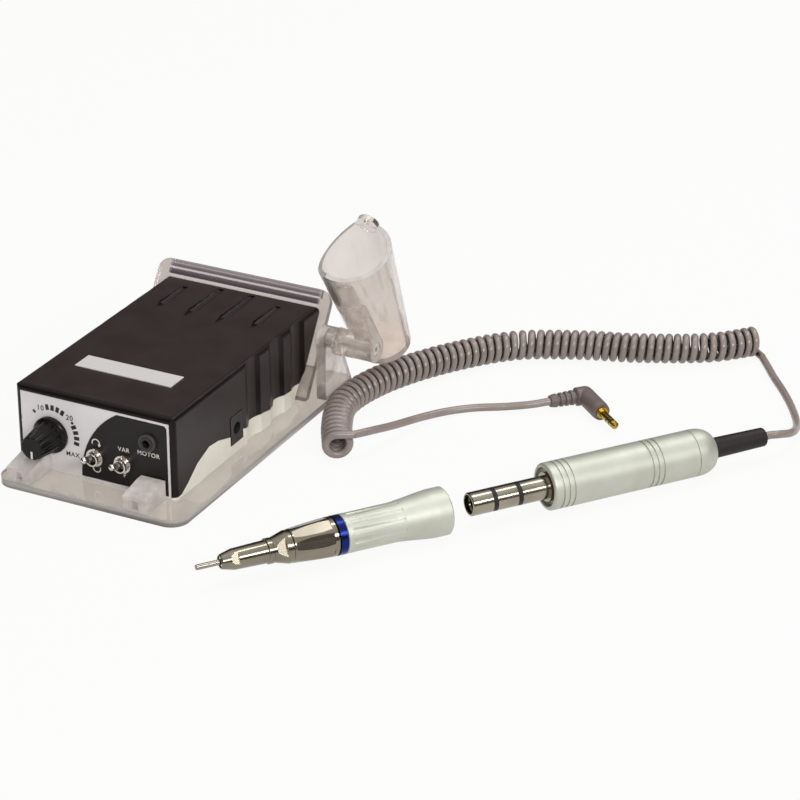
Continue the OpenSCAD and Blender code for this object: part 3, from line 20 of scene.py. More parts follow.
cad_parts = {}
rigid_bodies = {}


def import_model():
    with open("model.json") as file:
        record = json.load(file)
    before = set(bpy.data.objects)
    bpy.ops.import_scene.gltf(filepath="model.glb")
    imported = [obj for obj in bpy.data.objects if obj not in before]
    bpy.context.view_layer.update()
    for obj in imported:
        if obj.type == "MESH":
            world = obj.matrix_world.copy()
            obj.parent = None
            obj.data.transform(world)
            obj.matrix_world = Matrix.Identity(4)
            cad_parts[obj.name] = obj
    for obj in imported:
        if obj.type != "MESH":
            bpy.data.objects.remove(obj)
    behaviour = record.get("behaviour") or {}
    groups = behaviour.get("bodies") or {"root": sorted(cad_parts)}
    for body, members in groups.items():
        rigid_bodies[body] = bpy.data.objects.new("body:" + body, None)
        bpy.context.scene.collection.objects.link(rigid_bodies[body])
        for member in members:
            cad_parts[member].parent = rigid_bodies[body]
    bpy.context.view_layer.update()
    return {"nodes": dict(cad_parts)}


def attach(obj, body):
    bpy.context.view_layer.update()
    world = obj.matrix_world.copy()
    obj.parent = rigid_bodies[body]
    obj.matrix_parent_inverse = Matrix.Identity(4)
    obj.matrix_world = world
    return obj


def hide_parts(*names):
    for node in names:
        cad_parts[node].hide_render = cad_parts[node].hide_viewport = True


LOG = logging.getLogger("micromotor")
MM = 0.001
WHITE = (1.0, 1.0, 1.0, 1.0)
# Turn about Z of the tool's axis, from the bur towards the cord
TOOL_ANGLE = math.radians(52.7)
# Fineness of the noise in a grain and in the patches of a colour
GRAIN_DETAIL = 3.0
GRAIN_ROUGHNESS = 0.55
PATCH_DETAIL = 2.0
# Values of that noise between which gloss and colour drift
GLOSS_DRIFT = (0.3, 0.7)
COLOUR_DRIFT = (0.35, 0.65)
# Openness to light between which the painted shade of a gap clears
PAINTED_SHADE_CLEARS = (0.35, 0.9)
# Rays that round an edge, and rays that find a gap for its painted shade
EDGE_SAMPLES = 4
PAINTED_SHADE_SAMPLES = 8


class Body(Enum):
    """The moving bodies that a piece of this script rides on."""

    CONTROL_UNIT = "control_unit"
    MOTOR = "motor"


class Slot(Enum):
    """The record's material slots that a piece of this script belongs to."""

    CORD = "cord_rubber"
    DARK_PRINT = "black_film"
    PALE_PRINT = "white_paint"


class Drift(Enum):
    """Where a finish's colour drifts: in soft patches, or in streaks along its grain."""

    PATCHES = "patches"
    STREAKS = "streaks"


def linear(colour: str) -> tuple[float, float, float, float]:
    """Turn an sRGB hex colour into the linear values that a shader takes.

    Args:
        colour: Six hex digits after a hash sign.

    Returns:
        Linear red, green, blue and an alpha of one.
    """
    parts = [int(colour[i:i + 2], 16) / 255 for i in (1, 3, 5)]
    r, g, b = (p / 12.92 if p <= 0.04045 else ((p + 0.055) / 1.055) ** 2.4 for p in parts)
    return r, g, b, 1.0


def add_node(tree: bpy.types.NodeTree, kind: str, settings: dict | None = None,
             links: dict | None = None) -> bpy.types.Node:
    """Add one node to a tree, set its values and link its inputs.

    Args:
        tree: The node tree of a material or a world.
        kind: The shader node's type, such as Bump.
        settings: Values by input name, input number or property name.
        links: Output sockets by the name or number of the input they feed.

    Returns:
        The new node.
    """
    node = tree.nodes.new("ShaderNode" + kind)
    for key, value in (settings or {}).items():
        if isinstance(key, int) or key in node.inputs:
            node.inputs[key].default_value = value
        else:
            setattr(node, key, value)
    for key, socket in (links or {}).items():
        tree.links.new(socket, node.inputs[key])
    return node


def empty_tree(owner: bpy.types.Material | bpy.types.World) -> bpy.types.NodeTree:
    """Give a material or a world an empty node tree.

    Args:
        owner: The material or world.

    Returns:
        Its tree.
    """
    owner.use_nodes = True
    owner.node_tree.nodes.clear()
    return owner.node_tree


def add_object(data: bpy.types.ID) -> bpy.types.Object:
    """Put an object into the scene under the name of its data.

    Args:
        data: A mesh, curve, text, lamp or camera.

    Returns:
        The new object.
    """
    made = bpy.data.objects.new(data.name, data)
    bpy.context.scene.collection.objects.link(made)
    return made


@dataclass(frozen=True)
class Finish:
    """A surface finish: its colour and gloss, and the fine pattern that its making leaves.

    Attributes:
        name: Name of the material.
        colour: sRGB hex of the surface.
        shade: sRGB hex that the colour drifts to.
        roughness: Least roughness of the surface.
        spread: Added roughness where the grain is dullest.
        metallic: Share of bare metal in the surface.
        ior: Refractive index of a plastic, rubber or clear piece.
        transmission: Share of light that a clear piece passes.
        coat: Weight of a clear lacquer over the surface.
        grain_mm: Size of the surface's grain.
        grain_depth_mm: Height of the grain.
        patch_mm: Size of the patches in which the colour drifts.
        drift: Whether the colour drifts in patches or in streaks.
        stretch: Scale of the grain along X, Y and Z, to draw it out into lines.
        turn: Turn of the grain about Z, to set it along the tool.
        edge_mm: Radius to which the making rounds sharp edges.
        depth_tint: sRGB hex that a clear piece takes on in its depth.
        depth_density: How fast a clear piece takes on that tint, per metre.
        painted_shade_reach_mm: Reach within which a piece's own folds lie close enough to get painted shade,
            which darkens the colour.
        painted_gap_shade: sRGB hex of the painted shade in such gaps.
    """

    name: str
    colour: str
    shade: str
    roughness: float
    spread: float = 0.08
    metallic: float = 0.0
    ior: float = 1.5
    transmission: float = 0.0
    coat: float = 0.0
    grain_mm: float = 0.5
    grain_depth_mm: float = 0.01
    patch_mm: float = 14.0
    drift: Drift = Drift.PATCHES
    stretch: tuple[float, float, float] = (1.0, 1.0, 1.0)
    turn: float = 0.0
    edge_mm: float = 0.2
    depth_tint: str = "#c6bcb2"
    depth_density: float = 18.0
    painted_shade_reach_mm: float = 0.0
    painted_gap_shade: str = "#1e1a1a"

    def build(self) -> bpy.types.Material:
        """Make the material with its grain, its drifting colour and its drifting gloss.

        Returns:
            The finished material.
        """
        material = bpy.data.materials.new(self.name)
        tree = empty_tree(material)
        where = add_node(tree, "TexCoord").outputs["Object"]
        along = add_node(tree, "Mapping", {"Rotation": (0, 0, -self.turn)}, {"Vector": where})
        drawn = add_node(tree, "Mapping", {"Scale": self.stretch}, {"Vector": along.outputs[0]})
        grain = add_node(tree, "TexNoise",
                         {"Scale": 1 / (self.grain_mm * MM), "Detail": GRAIN_DETAIL,
                          "Roughness": GRAIN_ROUGHNESS},
                         {"Vector": drawn.outputs[0]})
        patch = add_node(tree, "TexNoise",
                         {"Scale": 1 / (self.patch_mm * MM), "Detail": PATCH_DETAIL}, {"Vector": where})
        source = grain if self.drift is Drift.STREAKS else patch
        tint = self.tint(tree, where, source.outputs["Fac"])
        gloss = add_node(tree, "MapRange",
                         {"From Min": GLOSS_DRIFT[0], "From Max": GLOSS_DRIFT[1],
                          "To Min": self.roughness, "To Max": self.roughness + self.spread},
                         {"Value": grain.outputs["Fac"]})
        heights = {"Height": grain.outputs["Fac"]}
        if self.edge_mm:
            rounded = add_node(tree, "Bevel", {"samples": EDGE_SAMPLES, "Radius": self.edge_mm * MM})
            heights["Normal"] = rounded.outputs["Normal"]
        relief = add_node(tree, "Bump", {"Strength": 1.0, "Distance": self.grain_depth_mm * MM}, heights)
        surface = add_node(tree, "BsdfPrincipled",
                           {"Metallic": self.metallic, "IOR": self.ior, "Coat Weight": self.coat,
                            "Transmission Weight": self.transmission},
                           {"Base Color": tint, "Roughness": gloss.outputs["Result"],
                            "Normal": relief.outputs["Normal"]})
        links = {"Surface": surface.outputs["BSDF"]}
        if self.transmission:
            links["Surface"] = self.let_through(tree, surface.outputs["BSDF"])
            depth = add_node(tree, "VolumeAbsorption",
                             {"Color": linear(self.depth_tint), "Density": self.depth_density})
            links["Volume"] = depth.outputs[0]
        add_node(tree, "OutputMaterial", None, links)
        return material

    def tint(self, tree: bpy.types.NodeTree, where: bpy.types.NodeSocket,
             drift: bpy.types.NodeSocket) -> bpy.types.NodeSocket:
        """Let the colour drift to its shade, and paint shade into the gaps of a piece that has them.

        Args:
            tree: Tree of the material.
            where: Place on the piece, for a finish that changes along it.
            drift: Noise that the colour follows.

        Returns:
            The colour over the surface.
        """
        share = add_node(tree, "MapRange",
                         {"From Min": COLOUR_DRIFT[0], "From Max": COLOUR_DRIFT[1]}, {"Value": drift})
        mix = add_node(tree, "MixRGB",
                       {"Color1": linear(self.colour), "Color2": linear(self.shade)},
                       {"Fac": share.outputs["Result"]})
        # Painted shade: where the piece's own folds lie close, the colour darkens to the shade of its gaps.
        if not self.painted_shade_reach_mm:
            return mix.outputs["Color"]
        open_to_light = add_node(tree, "AmbientOcclusion",
                                 {"samples": PAINTED_SHADE_SAMPLES, "only_local": True, "Distance": self.painted_shade_reach_mm * MM})
        clear = add_node(tree, "MapRange", {"From Min": PAINTED_SHADE_CLEARS[0], "From Max": PAINTED_SHADE_CLEARS[1]},
                         {"Value": open_to_light.outputs["AO"]})
        gaps = add_node(tree, "MixRGB", {"Color1": linear(self.painted_gap_shade)},
                        {"Fac": clear.outputs["Result"], "Color2": mix.outputs["Color"]})
        return gaps.outputs["Color"]

    def let_through(self, tree: bpy.types.NodeTree, surface: bpy.types.NodeSocket) -> bpy.types.NodeSocket:
        """Let the light that a clear piece passes reach what lies behind it.

        Args:
            tree: Tree of the material.
            surface: The finished surface.

        Returns:
            The surface with an open way for shadow rays.
        """
        ray = add_node(tree, "LightPath")
        share = add_node(tree, "Math", {"operation": "MULTIPLY", 1: self.transmission},
                         {0: ray.outputs["Is Shadow Ray"]})
        open_way = add_node(tree, "BsdfTransparent", {"Color": linear(self.colour)})
        both = add_node(tree, "MixShader", None, {0: share.outputs[0], 1: surface, 2: open_way.outputs[0]})
        return both.outputs[0]


@dataclass(frozen=True)
class BarredFinish(Finish):
    """A clear sheet with a bar along its top, where painted highlights and painted shade run as streaks along
    the sheet's edge.

    Attributes:
        foot_mm: A point at the sheet's foot, in the middle of the bar's length.
        lean: Lean of the sheet from upright, in degrees.
        half_mm: Half the length of the bar.
        reach_mm: Heights up the sheet between which the bar lies.
        streaks: Colours of the painted highlight and shade streaks from below, each with the share of the
            height where it starts.
    """

    foot_mm: tuple[float, float, float] = (0.0, 0.0, 0.0)
    lean: float = 0.0
    half_mm: float = 1.0
    reach_mm: tuple[float, float] = (0.0, 1.0)
    streaks: tuple[tuple[float, str], ...] = ()

    def tint(self, tree: bpy.types.NodeTree, where: bpy.types.NodeSocket,
             drift: bpy.types.NodeSocket) -> bpy.types.NodeSocket:
        """Lay the bar's painted highlight and shade streaks over the sheet's own colour.

        Args:
            tree: Tree of the material.
            where: Place on the piece.
            drift: Noise that the colour follows.

        Returns:
            The colour over the surface.
        """
        plain = super().tint(tree, where, drift)
        lean = math.radians(self.lean)
        from_foot = add_node(tree, "VectorMath",
                             {"operation": "SUBTRACT", 1: Vector(self.foot_mm) * MM}, {0: where})
        height = add_node(tree, "VectorMath",
                          {"operation": "DOT_PRODUCT", 1: (0, math.sin(lean), math.cos(lean))},
                          {0: from_foot.outputs[0]})
        share = add_node(tree, "MapRange",
                         {"From Min": self.reach_mm[0] * MM, "From Max": self.reach_mm[1] * MM},
                         {"Value": height.outputs["Value"]})
        # Painted highlights and shade: the ramp's bands stand in for the light that the bar bends and
        # reflects.
        ramp = add_node(tree, "ValToRGB", None, {0: share.outputs["Result"]})
        ramp.color_ramp.interpolation = "EASE"
        stops = ramp.color_ramp.elements
        ready = len(stops)
        for i, (start, colour) in enumerate(self.streaks):
            stop = stops[i] if i < ready else stops.new(start)
            stop.position, stop.color = start, linear(colour)
        beside = add_node(tree, "SeparateXYZ", None, {0: from_foot.outputs[0]})
        within = add_node(tree, "Math", {"operation": "COMPARE", 1: 0.0, 2: self.half_mm * MM},
                          {0: beside.outputs["X"]})
        above = add_node(tree, "Math", {"operation": "GREATER_THAN", 1: 0.0}, {0: share.outputs["Result"]})
        both = add_node(tree, "Math", {"operation": "MULTIPLY"}, {0: within.outputs[0], 1: above.outputs[0]})
        mix = add_node(tree, "MixRGB", None,
                       {"Fac": both.outputs[0], "Color1": plain, "Color2": ramp.outputs["Color"]})
        return mix.outputs["Color"]


# Moulded, turned and brushed grain is too fine to show in a picture of the set, so it is drawn coarser.

# Moulded ABS with the spark-eroded skin of its mould: the cover's flat faces look a matt brown-black.
BLACK_ABS = Finish(
    "spark_textured_black_abs", "#302826", "#2a2220", 0.36, 0.1, ior=1.32, grain_mm=0.45, grain_depth_mm=0.01,
    edge_mm=0.3)
# The same ABS off the mould's smooth parts: the cover's edges, grooves and flutes look shinier, and darker by
# painted shade.
SMOOTH_BLACK_ABS_PAINTED_SHADE = Finish(
    "smooth_black_abs_painted_shade", "#181110", "#130d0c", 0.28, 0.06, ior=1.28, grain_mm=5.0,
    grain_depth_mm=0.003, edge_mm=0.3)
# Polished phenolic of the knob: blacker and shinier than the cover, so that its flutes catch the light.
BLACK_PHENOLIC = Finish(
    "moulded_black_phenolic", "#141010", "#0f0c0c", 0.24, 0.08, ior=1.3, grain_mm=0.5, grain_depth_mm=0.006,
    edge_mm=0.3)
# White ABS of the panel: clean and slightly warm, with a smooth skin.
WHITE_ABS = Finish("moulded_white_abs", "#efedee", "#e9e6e7", 0.36, 0.1, grain_mm=0.6, grain_depth_mm=0.006)
# Natural ABS of the lower case: the same plastic without whitener, so that it looks cream.
CREAM_ABS = Finish("moulded_natural_abs", "#ebe9dd", "#e4e2d5", 0.38, 0.1, grain_mm=0.6, grain_depth_mm=0.008)
# Dark ABS of sockets and the battery cradle: a duller, unpolished mould.
DARK_ABS = Finish("moulded_dark_abs", "#262122", "#1f1b1c", 0.42, 0.12, grain_mm=0.5, grain_depth_mm=0.012)
# Grey ABS of the motor socket's ring: lighter than the film round it.
GREY_ABS = Finish(
    "moulded_grey_abs", "#4d4745", "#45403e", 0.36, 0.1, ior=1.45, grain_mm=0.5, grain_depth_mm=0.01)
# Printed polyester film: smooth and a little glossier than the panel it lies on.
BLACK_FILM = Finish(
    "printed_black_film", "#1e1a19", "#1a1716", 0.34, 0.06, ior=1.32, grain_mm=0.8, grain_depth_mm=0.002)
# Moulded acrylic of the cup: clear and faintly warm, with slow flow marks that bend what shows through.
CLEAR_ACRYLIC = Finish(
    "moulded_clear_acrylic", "#ebe5e1", "#e5dfda", 0.03, 0.05, ior=1.49, transmission=0.95, grain_mm=16.0,
    grain_depth_mm=0.1, edge_mm=0.0)
# Cast acrylic sheet of the plate: thicker, so that the white under it looks a warm grey.
ACRYLIC_SHEET = Finish(
    "cast_acrylic_sheet", "#d0c9bf", "#c6bfb5", 0.04, 0.06, ior=1.49, transmission=0.92, grain_mm=18.0,
    grain_depth_mm=0.12, edge_mm=0.0)
# The same sheet as the back wall, with painted highlights and painted shade in streaks across the bar along
# its top.
ACRYLIC_WALL_PAINTED_BAR_STREAKS = BarredFinish(
    "cast_acrylic_wall_painted_bar_streaks", "#d0c9c3", "#c6bfb8", 0.04, 0.06, ior=1.49, transmission=0.8, grain_mm=18.0,
    grain_depth_mm=0.12, edge_mm=0.0, foot_mm=(-7.0, 44.6, 3.2), lean=32.0, half_mm=38.5,
    reach_mm=(42.9, 50.7),
    streaks=((0.0, "#d8d0d0"), (0.1, "#d8d0d0"), (0.15, "#4e474a"), (0.42, "#6a6265"), (0.47, "#dad2d3"),
             (0.55, "#dad2d3"), (0.6, "#6d6568"), (0.74, "#827a7d"), (0.8, "#c0b8b9"), (0.86, "#8f8789"),
             (1.0, "#b1a9aa")))
# Acrylic edge: painted light and painted shade in streaks along its length, for the light it gathers from the
# whole sheet.
ACRYLIC_EDGE_PAINTED_LIGHT = Finish(
    "polished_acrylic_edge_painted_light", "#efebe6", "#8f867f", 0.1, 0.1, ior=1.49, transmission=0.45, grain_mm=3.0,
    grain_depth_mm=0.05, drift=Drift.STREAKS, stretch=(0.02, 0.02, 1.0))
# Moulded acrylic of the stops and the cup's rim: small faces scatter the light, so they look milky; the
# paleness is painted light.
MILKY_ACRYLIC_PAINTED_LIGHT = Finish(
    "moulded_acrylic_block_painted_light", "#f4eeea", "#ddd5d0", 0.12, 0.1, ior=1.49, transmission=0.35, grain_mm=4.0,
    grain_depth_mm=0.06, drift=Drift.STREAKS, edge_mm=0.4)
# Moulded acrylic of the arm and bracket: clear, with flow marks that break what shows through into sparkles.
ACRYLIC_ARM = Finish(
    "moulded_acrylic_arm", "#f4efeb", "#d3cbc5", 0.05, 0.08, ior=1.49, transmission=0.74, grain_mm=5.0,
    grain_depth_mm=0.14, drift=Drift.STREAKS, edge_mm=0.4, depth_density=6.0)
# Satin anodised aluminium: turned rings too fine to show are drawn 0.5 mm apart, round the tool.
ANODISED_SILVER = Finish(
    "turned_anodised_aluminium", "#c6c8bc", "#bdbfb2", 0.5, 0.08, metallic=0.7, grain_mm=0.5,
    grain_depth_mm=0.002, stretch=(1.0, 0.02, 0.02), turn=TOOL_ANGLE)
# Blue anodised ring: the dye deepens the colour and leaves the metal's gloss.
ANODISED_BLUE = replace(
    ANODISED_SILVER, name="dyed_anodised_aluminium", colour="#1f2d6c", shade="#172253", roughness=0.22,
    metallic=1.0)
# Polished black nickel on the handpiece's nose and chuck ring: clear reflections in a dark brown grey.
BLACK_NICKEL = Finish(
    "polished_black_nickel_plate", "#8d8678", "#7f786b", 0.17, 0.05, metallic=1.0, grain_mm=2.5,
    grain_depth_mm=0.002, stretch=(0.1, 1.0, 1.0), turn=TOOL_ANGLE, edge_mm=0.0)
# Polished bright nickel on the coupling nose: the same mirror, a lighter grey.
POLISHED_NICKEL = replace(BLACK_NICKEL, name="polished_nickel_plate", colour="#a39c8d", shade="#958e7f")
# Ground steel of the bur's shank: brighter than the black nickel beside it, with a slight haze.
GROUND_STEEL = Finish(
    "ground_tool_steel", "#a39d93", "#989288", 0.26, 0.04, metallic=1.0, grain_mm=6.0, grain_depth_mm=0.001,
    stretch=(0.1, 1.0, 1.0), turn=TOOL_ANGLE, edge_mm=0.0)
# Zinc-plated steel of screws, nuts and toggles: bright with a slight haze.
PLATED_STEEL = Finish(
    "zinc_plated_steel", "#d6d1c9", "#cac4bb", 0.2, 0.12, metallic=1.0, grain_mm=0.4, grain_depth_mm=0.003)
# Gold-plated brass of the plug's contacts: warm and bright.
GOLD_PLATE = Finish(
    "gold_plated_brass", "#bda04c", "#b09240", 0.16, 0.08, metallic=1.0, grain_mm=0.5, grain_depth_mm=0.002)
# Extruded soft PVC of the cord: an even, shiny grey-brown, with painted shade in the gaps between the coil's
# turns.
CORD_PVC_PAINTED_GAP_SHADE = Finish(
    "extruded_grey_pvc_painted_gap_shade", "#8f837e", "#867a74", 0.2, 0.08, ior=1.54, grain_mm=3.0, grain_depth_mm=0.004,
    edge_mm=0.0, painted_shade_reach_mm=2.6)
# Moulded PVC of the plug: the same plastic, a little darker and duller.
PLUG_PVC = Finish("moulded_grey_pvc", "#6b5f5c", "#625754", 0.42, 0.1, grain_mm=0.6, grain_depth_mm=0.01)
# Moulded rubber of the boot: dull black.
BLACK_RUBBER = Finish(
    "moulded_black_rubber", "#221c1d", "#1d1819", 0.5, 0.12, ior=1.36, grain_mm=0.5, grain_depth_mm=0.012)
# Nitrile sealing rings: the deepest black of the set, dull.
NITRILE = Finish(
    "moulded_black_nitrile", "#0d0b0b", "#0a0909", 0.5, 0.1, ior=1.45, grain_mm=0.3, grain_depth_mm=0.004)
# Brushed silver foil of the label: lines along its length, drawn 0.4 mm apart so that they show.
BRUSHED_FOIL = Finish(
    "brushed_silver_foil", "#e4e2df", "#dad7d4", 0.36, 0.1, metallic=0.3, grain_mm=0.4, grain_depth_mm=0.002,
    stretch=(0.02, 1.0, 1.0), drift=Drift.STREAKS)
# Screen-printed inks: flat and slightly uneven.
WHITE_INK = Finish(
    "printed_white_ink", "#e9e6e0", "#e0dcd5", 0.45, 0.1, grain_mm=0.4, grain_depth_mm=0.003, edge_mm=0.0)
BLACK_INK = replace(WHITE_INK, name="printed_black_ink", colour="#1c1918", shade="#231f1e")
# Wound copper and the commutator: warm metal with lines along the rotor.
BARE_COPPER = Finish(
    "wound_bare_copper", "#b9784a", "#a8693e", 0.26, 0.12, metallic=1.0, grain_mm=0.5, grain_depth_mm=0.02,
    stretch=(0.05, 1.0, 1.0), turn=TOOL_ANGLE)
# Sintered ferrite and carbon: dark, dull and faintly grainy.
SINTERED_FERRITE = Finish(
    "sintered_dark_ferrite", "#3a393b", "#323133", 0.6, 0.15, ior=1.7, grain_mm=0.3, grain_depth_mm=0.02)
# Lacquered circuit board: green under a clear coat.
GREEN_LACQUER = Finish(
    "lacquered_green_laminate", "#2f6a43", "#27593a", 0.4, 0.1, coat=0.5, grain_mm=0.9, grain_depth_mm=0.02)
# Heat-shrunk cell wrap: smooth blue film.
CELL_WRAP = Finish("shrunk_blue_film", "#3566a6", "#2c5894", 0.3, 0.08, grain_mm=2.0, grain_depth_mm=0.01)


@dataclass
class Dresser:
    """Gives solids and pieces their finishes.

    Attributes:
        nodes: The frame's solids by name.
        made: Materials made so far, by their name.
    """

    nodes: dict[str, bpy.types.Object]
    made: dict[str, bpy.types.Material] = field(default_factory=dict)

    def material(self, finish: Finish) -> bpy.types.Material:
        """Return a finish's material, made once.

        Args:
            finish: The finish wanted.

        Returns:
            Its material.
        """
        if finish.name not in self.made:
            self.made[finish.name] = finish.build()
        return self.made[finish.name]

    def paint(self, piece: bpy.types.Object, finish: Finish) -> None:
        """Put a finish on the whole of a piece.

        Args:
            piece: A solid of the frame or a piece of this script.
            finish: The finish it gets.
        """
        piece.data.materials.clear()
        piece.data.materials.append(self.material(finish))
        LOG.info("%s: %s", piece.name, finish.name)

    def paint_faces(self, name: str, finish: Finish, picked: Callable[[Vector], bool]) -> None:
        """Put a second finish on the faces of a solid that look a certain way.

        Args:
            name: The solid's name.
            finish: The finish these faces get.
            picked: Says whether a face with a given normal gets it.
        """
        mesh = self.nodes[name].data
        mesh.materials.append(self.material(finish))
        faces = [face for face in mesh.polygons if picked(face.normal)]
        for face in faces:
            face.material_index = len(mesh.materials) - 1
        LOG.info("%s: %s on %d faces", name, finish.name, len(faces))


@dataclass
class SubAssembly:
    """A group of solids that are dressed together.

    Attributes:
        dresser: Gives the solids their finishes.
    """

    dresser: Dresser

    def finishes(self) -> dict[str, Finish]:
        """Finish of each solid, by its name."""
        raise NotImplementedError

    def build(self) -> None:
        """Dress every solid of the group."""
        for name, finish in self.finishes().items():
            self.dresser.paint(self.dresser.nodes[name], finish)


@dataclass
class Stand(SubAssembly):
    """The clear stand: plate, leaning back wall with its bar, front stops and the holder's bracket.

    Attributes:
        level: Greatest upward share of an upright face's normal.
    """

    level: float = 0.5

    def finishes(self) -> dict[str, Finish]:
        """Finish of each solid, by its name."""
        return {"stand_plate": ACRYLIC_SHEET, "back_wall": ACRYLIC_WALL_PAINTED_BAR_STREAKS, "front_stops": MILKY_ACRYLIC_PAINTED_LIGHT,
                "holder_bracket": ACRYLIC_ARM, "pivot_screw": PLATED_STEEL, "pivot_nut": PLATED_STEEL}

    def build(self) -> None:
        """Dress the stand, and paint streaks of light and shade onto the plate's edge."""
        super().build()
        self.dresser.paint_faces("stand_plate", ACRYLIC_EDGE_PAINTED_LIGHT, lambda n: abs(n.z) < self.level)


@dataclass
class Holder(SubAssembly):
    """The tilting cup and the arm that carries it.

    Attributes:
        cup_lean: Lean of the cup towards the front, in degrees.
        rim: Least share of the cup's axis in the normal of a rim face.
    """

    cup_lean: float = 28.0
    rim: float = 0.7

    def finishes(self) -> dict[str, Finish]:
        """Finish of each solid, by its name."""
        return {"holder_cup": CLEAR_ACRYLIC, "holder_arm": ACRYLIC_ARM}

    def build(self) -> None:
        """Dress the holder, and paint the cup's rim with a paler, milky finish as painted light."""
        super().build()
        lean = math.radians(self.cup_lean)
        axis = Vector((0, -math.sin(lean), math.cos(lean)))
        self.dresser.paint_faces("holder_cup", MILKY_ACRYLIC_PAINTED_LIGHT, lambda n: n.dot(axis) > self.rim)


@dataclass
class ControlUnit(SubAssembly):
    """The casing of the control unit and what sits inside it.

    Attributes:
        flat: Least upward or sideways share of the normal of the cover's flat faces.
    """

    flat: float = 0.97

    def finishes(self) -> dict[str, Finish]:
        """Finish of each solid, by its name."""
        return {"upper_cover": BLACK_ABS, "lower_case": CREAM_ABS, "front_panel": WHITE_ABS,
                "panel_film": BLACK_FILM, "label_plate": BRUSHED_FOIL, "circuit_board": GREEN_LACQUER,
                "battery_cradle": DARK_ABS, "battery_cells": CELL_WRAP, "case_screws": PLATED_STEEL,
                "motor_socket": DARK_ABS, "socket_nut": GREY_ABS, "charge_socket": DARK_ABS}

    def build(self) -> None:
        """Dress the unit, leave the mould's texture on the flat top and sides of its cover only, and paint
        shade on the rest.
        """
        super().build()
        self.dresser.paint_faces("upper_cover", SMOOTH_BLACK_ABS_PAINTED_SHADE, lambda n: max(n.z, abs(n.x)) < self.flat)


@dataclass
class Controls(SubAssembly):
    """The speed knob with its control, and the two toggle switches."""

    def finishes(self) -> dict[str, Finish]:
        """Finish of each solid, by its name."""
        plated = ("speed_control", "control_nut", "control_shaft", "direction_switch", "mode_switch",
                  "toggle_nuts", "direction_lever", "mode_lever")
        return {**dict.fromkeys(plated, PLATED_STEEL), "speed_knob": BLACK_PHENOLIC,
                "knob_pointer": WHITE_INK}


@dataclass
class Motor(SubAssembly):
    """The handpiece motor with its coupling nose, its inner works and the cord's boot."""

    def finishes(self) -> dict[str, Finish]:
        """Finish of each solid, by its name."""
        return {"motor_housing": ANODISED_SILVER, "motor_rear_cap": ANODISED_SILVER,
                "coupling_nose": POLISHED_NICKEL, "nose_rings": NITRILE, "stator_magnet": SINTERED_FERRITE,
                "motor_bearings": PLATED_STEEL, "brush_holder": DARK_ABS, "carbon_brushes": SINTERED_FERRITE,
                "rotor_shaft": PLATED_STEEL, "rotor_core": BARE_COPPER, "commutator": BARE_COPPER,
                "drive_dog": PLATED_STEEL, "cord_boot": BLACK_RUBBER}


@dataclass
class Handpiece(SubAssembly):
    """The straight handpiece with its chuck ring, spindle and bur."""

    def finishes(self) -> dict[str, Finish]:
        """Finish of each solid, by its name."""
        return {"nose_cone": BLACK_NICKEL, "chuck_ring": BLACK_NICKEL, "colour_ring": ANODISED_BLUE,
                "handpiece_sleeve": ANODISED_SILVER, "handpiece_bearings": PLATED_STEEL,
                "spindle": PLATED_STEEL, "driven_dog": PLATED_STEEL, "bur_pin": GROUND_STEEL}


def spline(points: list[Vector], steps: int) -> list[Vector]:
    """Smooth curve through route points.

    Args:
        points: The route's points.
        steps: Number of steps in each span.

    Returns:
        Points along the curve, the last route point included.
    """
    ends = [2 * points[0] - points[1], *points, 2 * points[-1] - points[-2]]
    out: list[Vector] = []
    for i in range(len(points) - 1):
        a, b, c, d = ends[i:i + 4]
        for k in range(steps):
            t = k / steps
            out.append(b + 0.5 * t * (c - a + t * (2 * a - 5 * b + 4 * c - d + t * (3 * (b - c) + d - a))))
    return [*out, points[-1]]


def span(run: list[float], s: float) -> tuple[int, float]:
    """Find the span of a rising list in which a value lies.

    Args:
        run: The rising list.
        s: The value.

    Returns:
        Number of the entry that ends the span, and the share of the span before the value.
    """
    i = min(max(bisect.bisect_left(run, s), 1), len(run) - 1)
    return i, (s - run[i - 1]) / (run[i] - run[i - 1])


@dataclass
class Route:
    """A line with the length run along it.

    Attributes:
        points: Points of the line.
        run: Length from the line's start to each point.
    """

    points: list[Vector]
    run: list[float] = field(init=False)

    def __post_init__(self) -> None:
        """Measure the line."""
        self.run = [0.0]
        for a, b in zip(self.points, self.points[1:]):
            self.run.append(self.run[-1] + (b - a).length)

    @property
    def length(self) -> float:
        """Length of the whole line."""
        return self.run[-1]

    def centre(self, s: float) -> Vector:
        """Point of the line at a run length, held to the line's ends."""
        i, share = span(self.run, min(max(s, 0.0), self.length))
        return self.points[i - 1].lerp(self.points[i], share)

    def ahead(self, s: float, reach: float) -> Vector:
        """Way along the line at a run length, taken over a reach to both sides."""
        return (self.centre(s + reach) - self.centre(s - reach)).normalized()

    def left(self, s: float, reach: float) -> Vector:
        """Level way to the left of the line at a run length."""
        way = self.ahead(s, reach)
        return Vector((-way.y, way.x, 0))


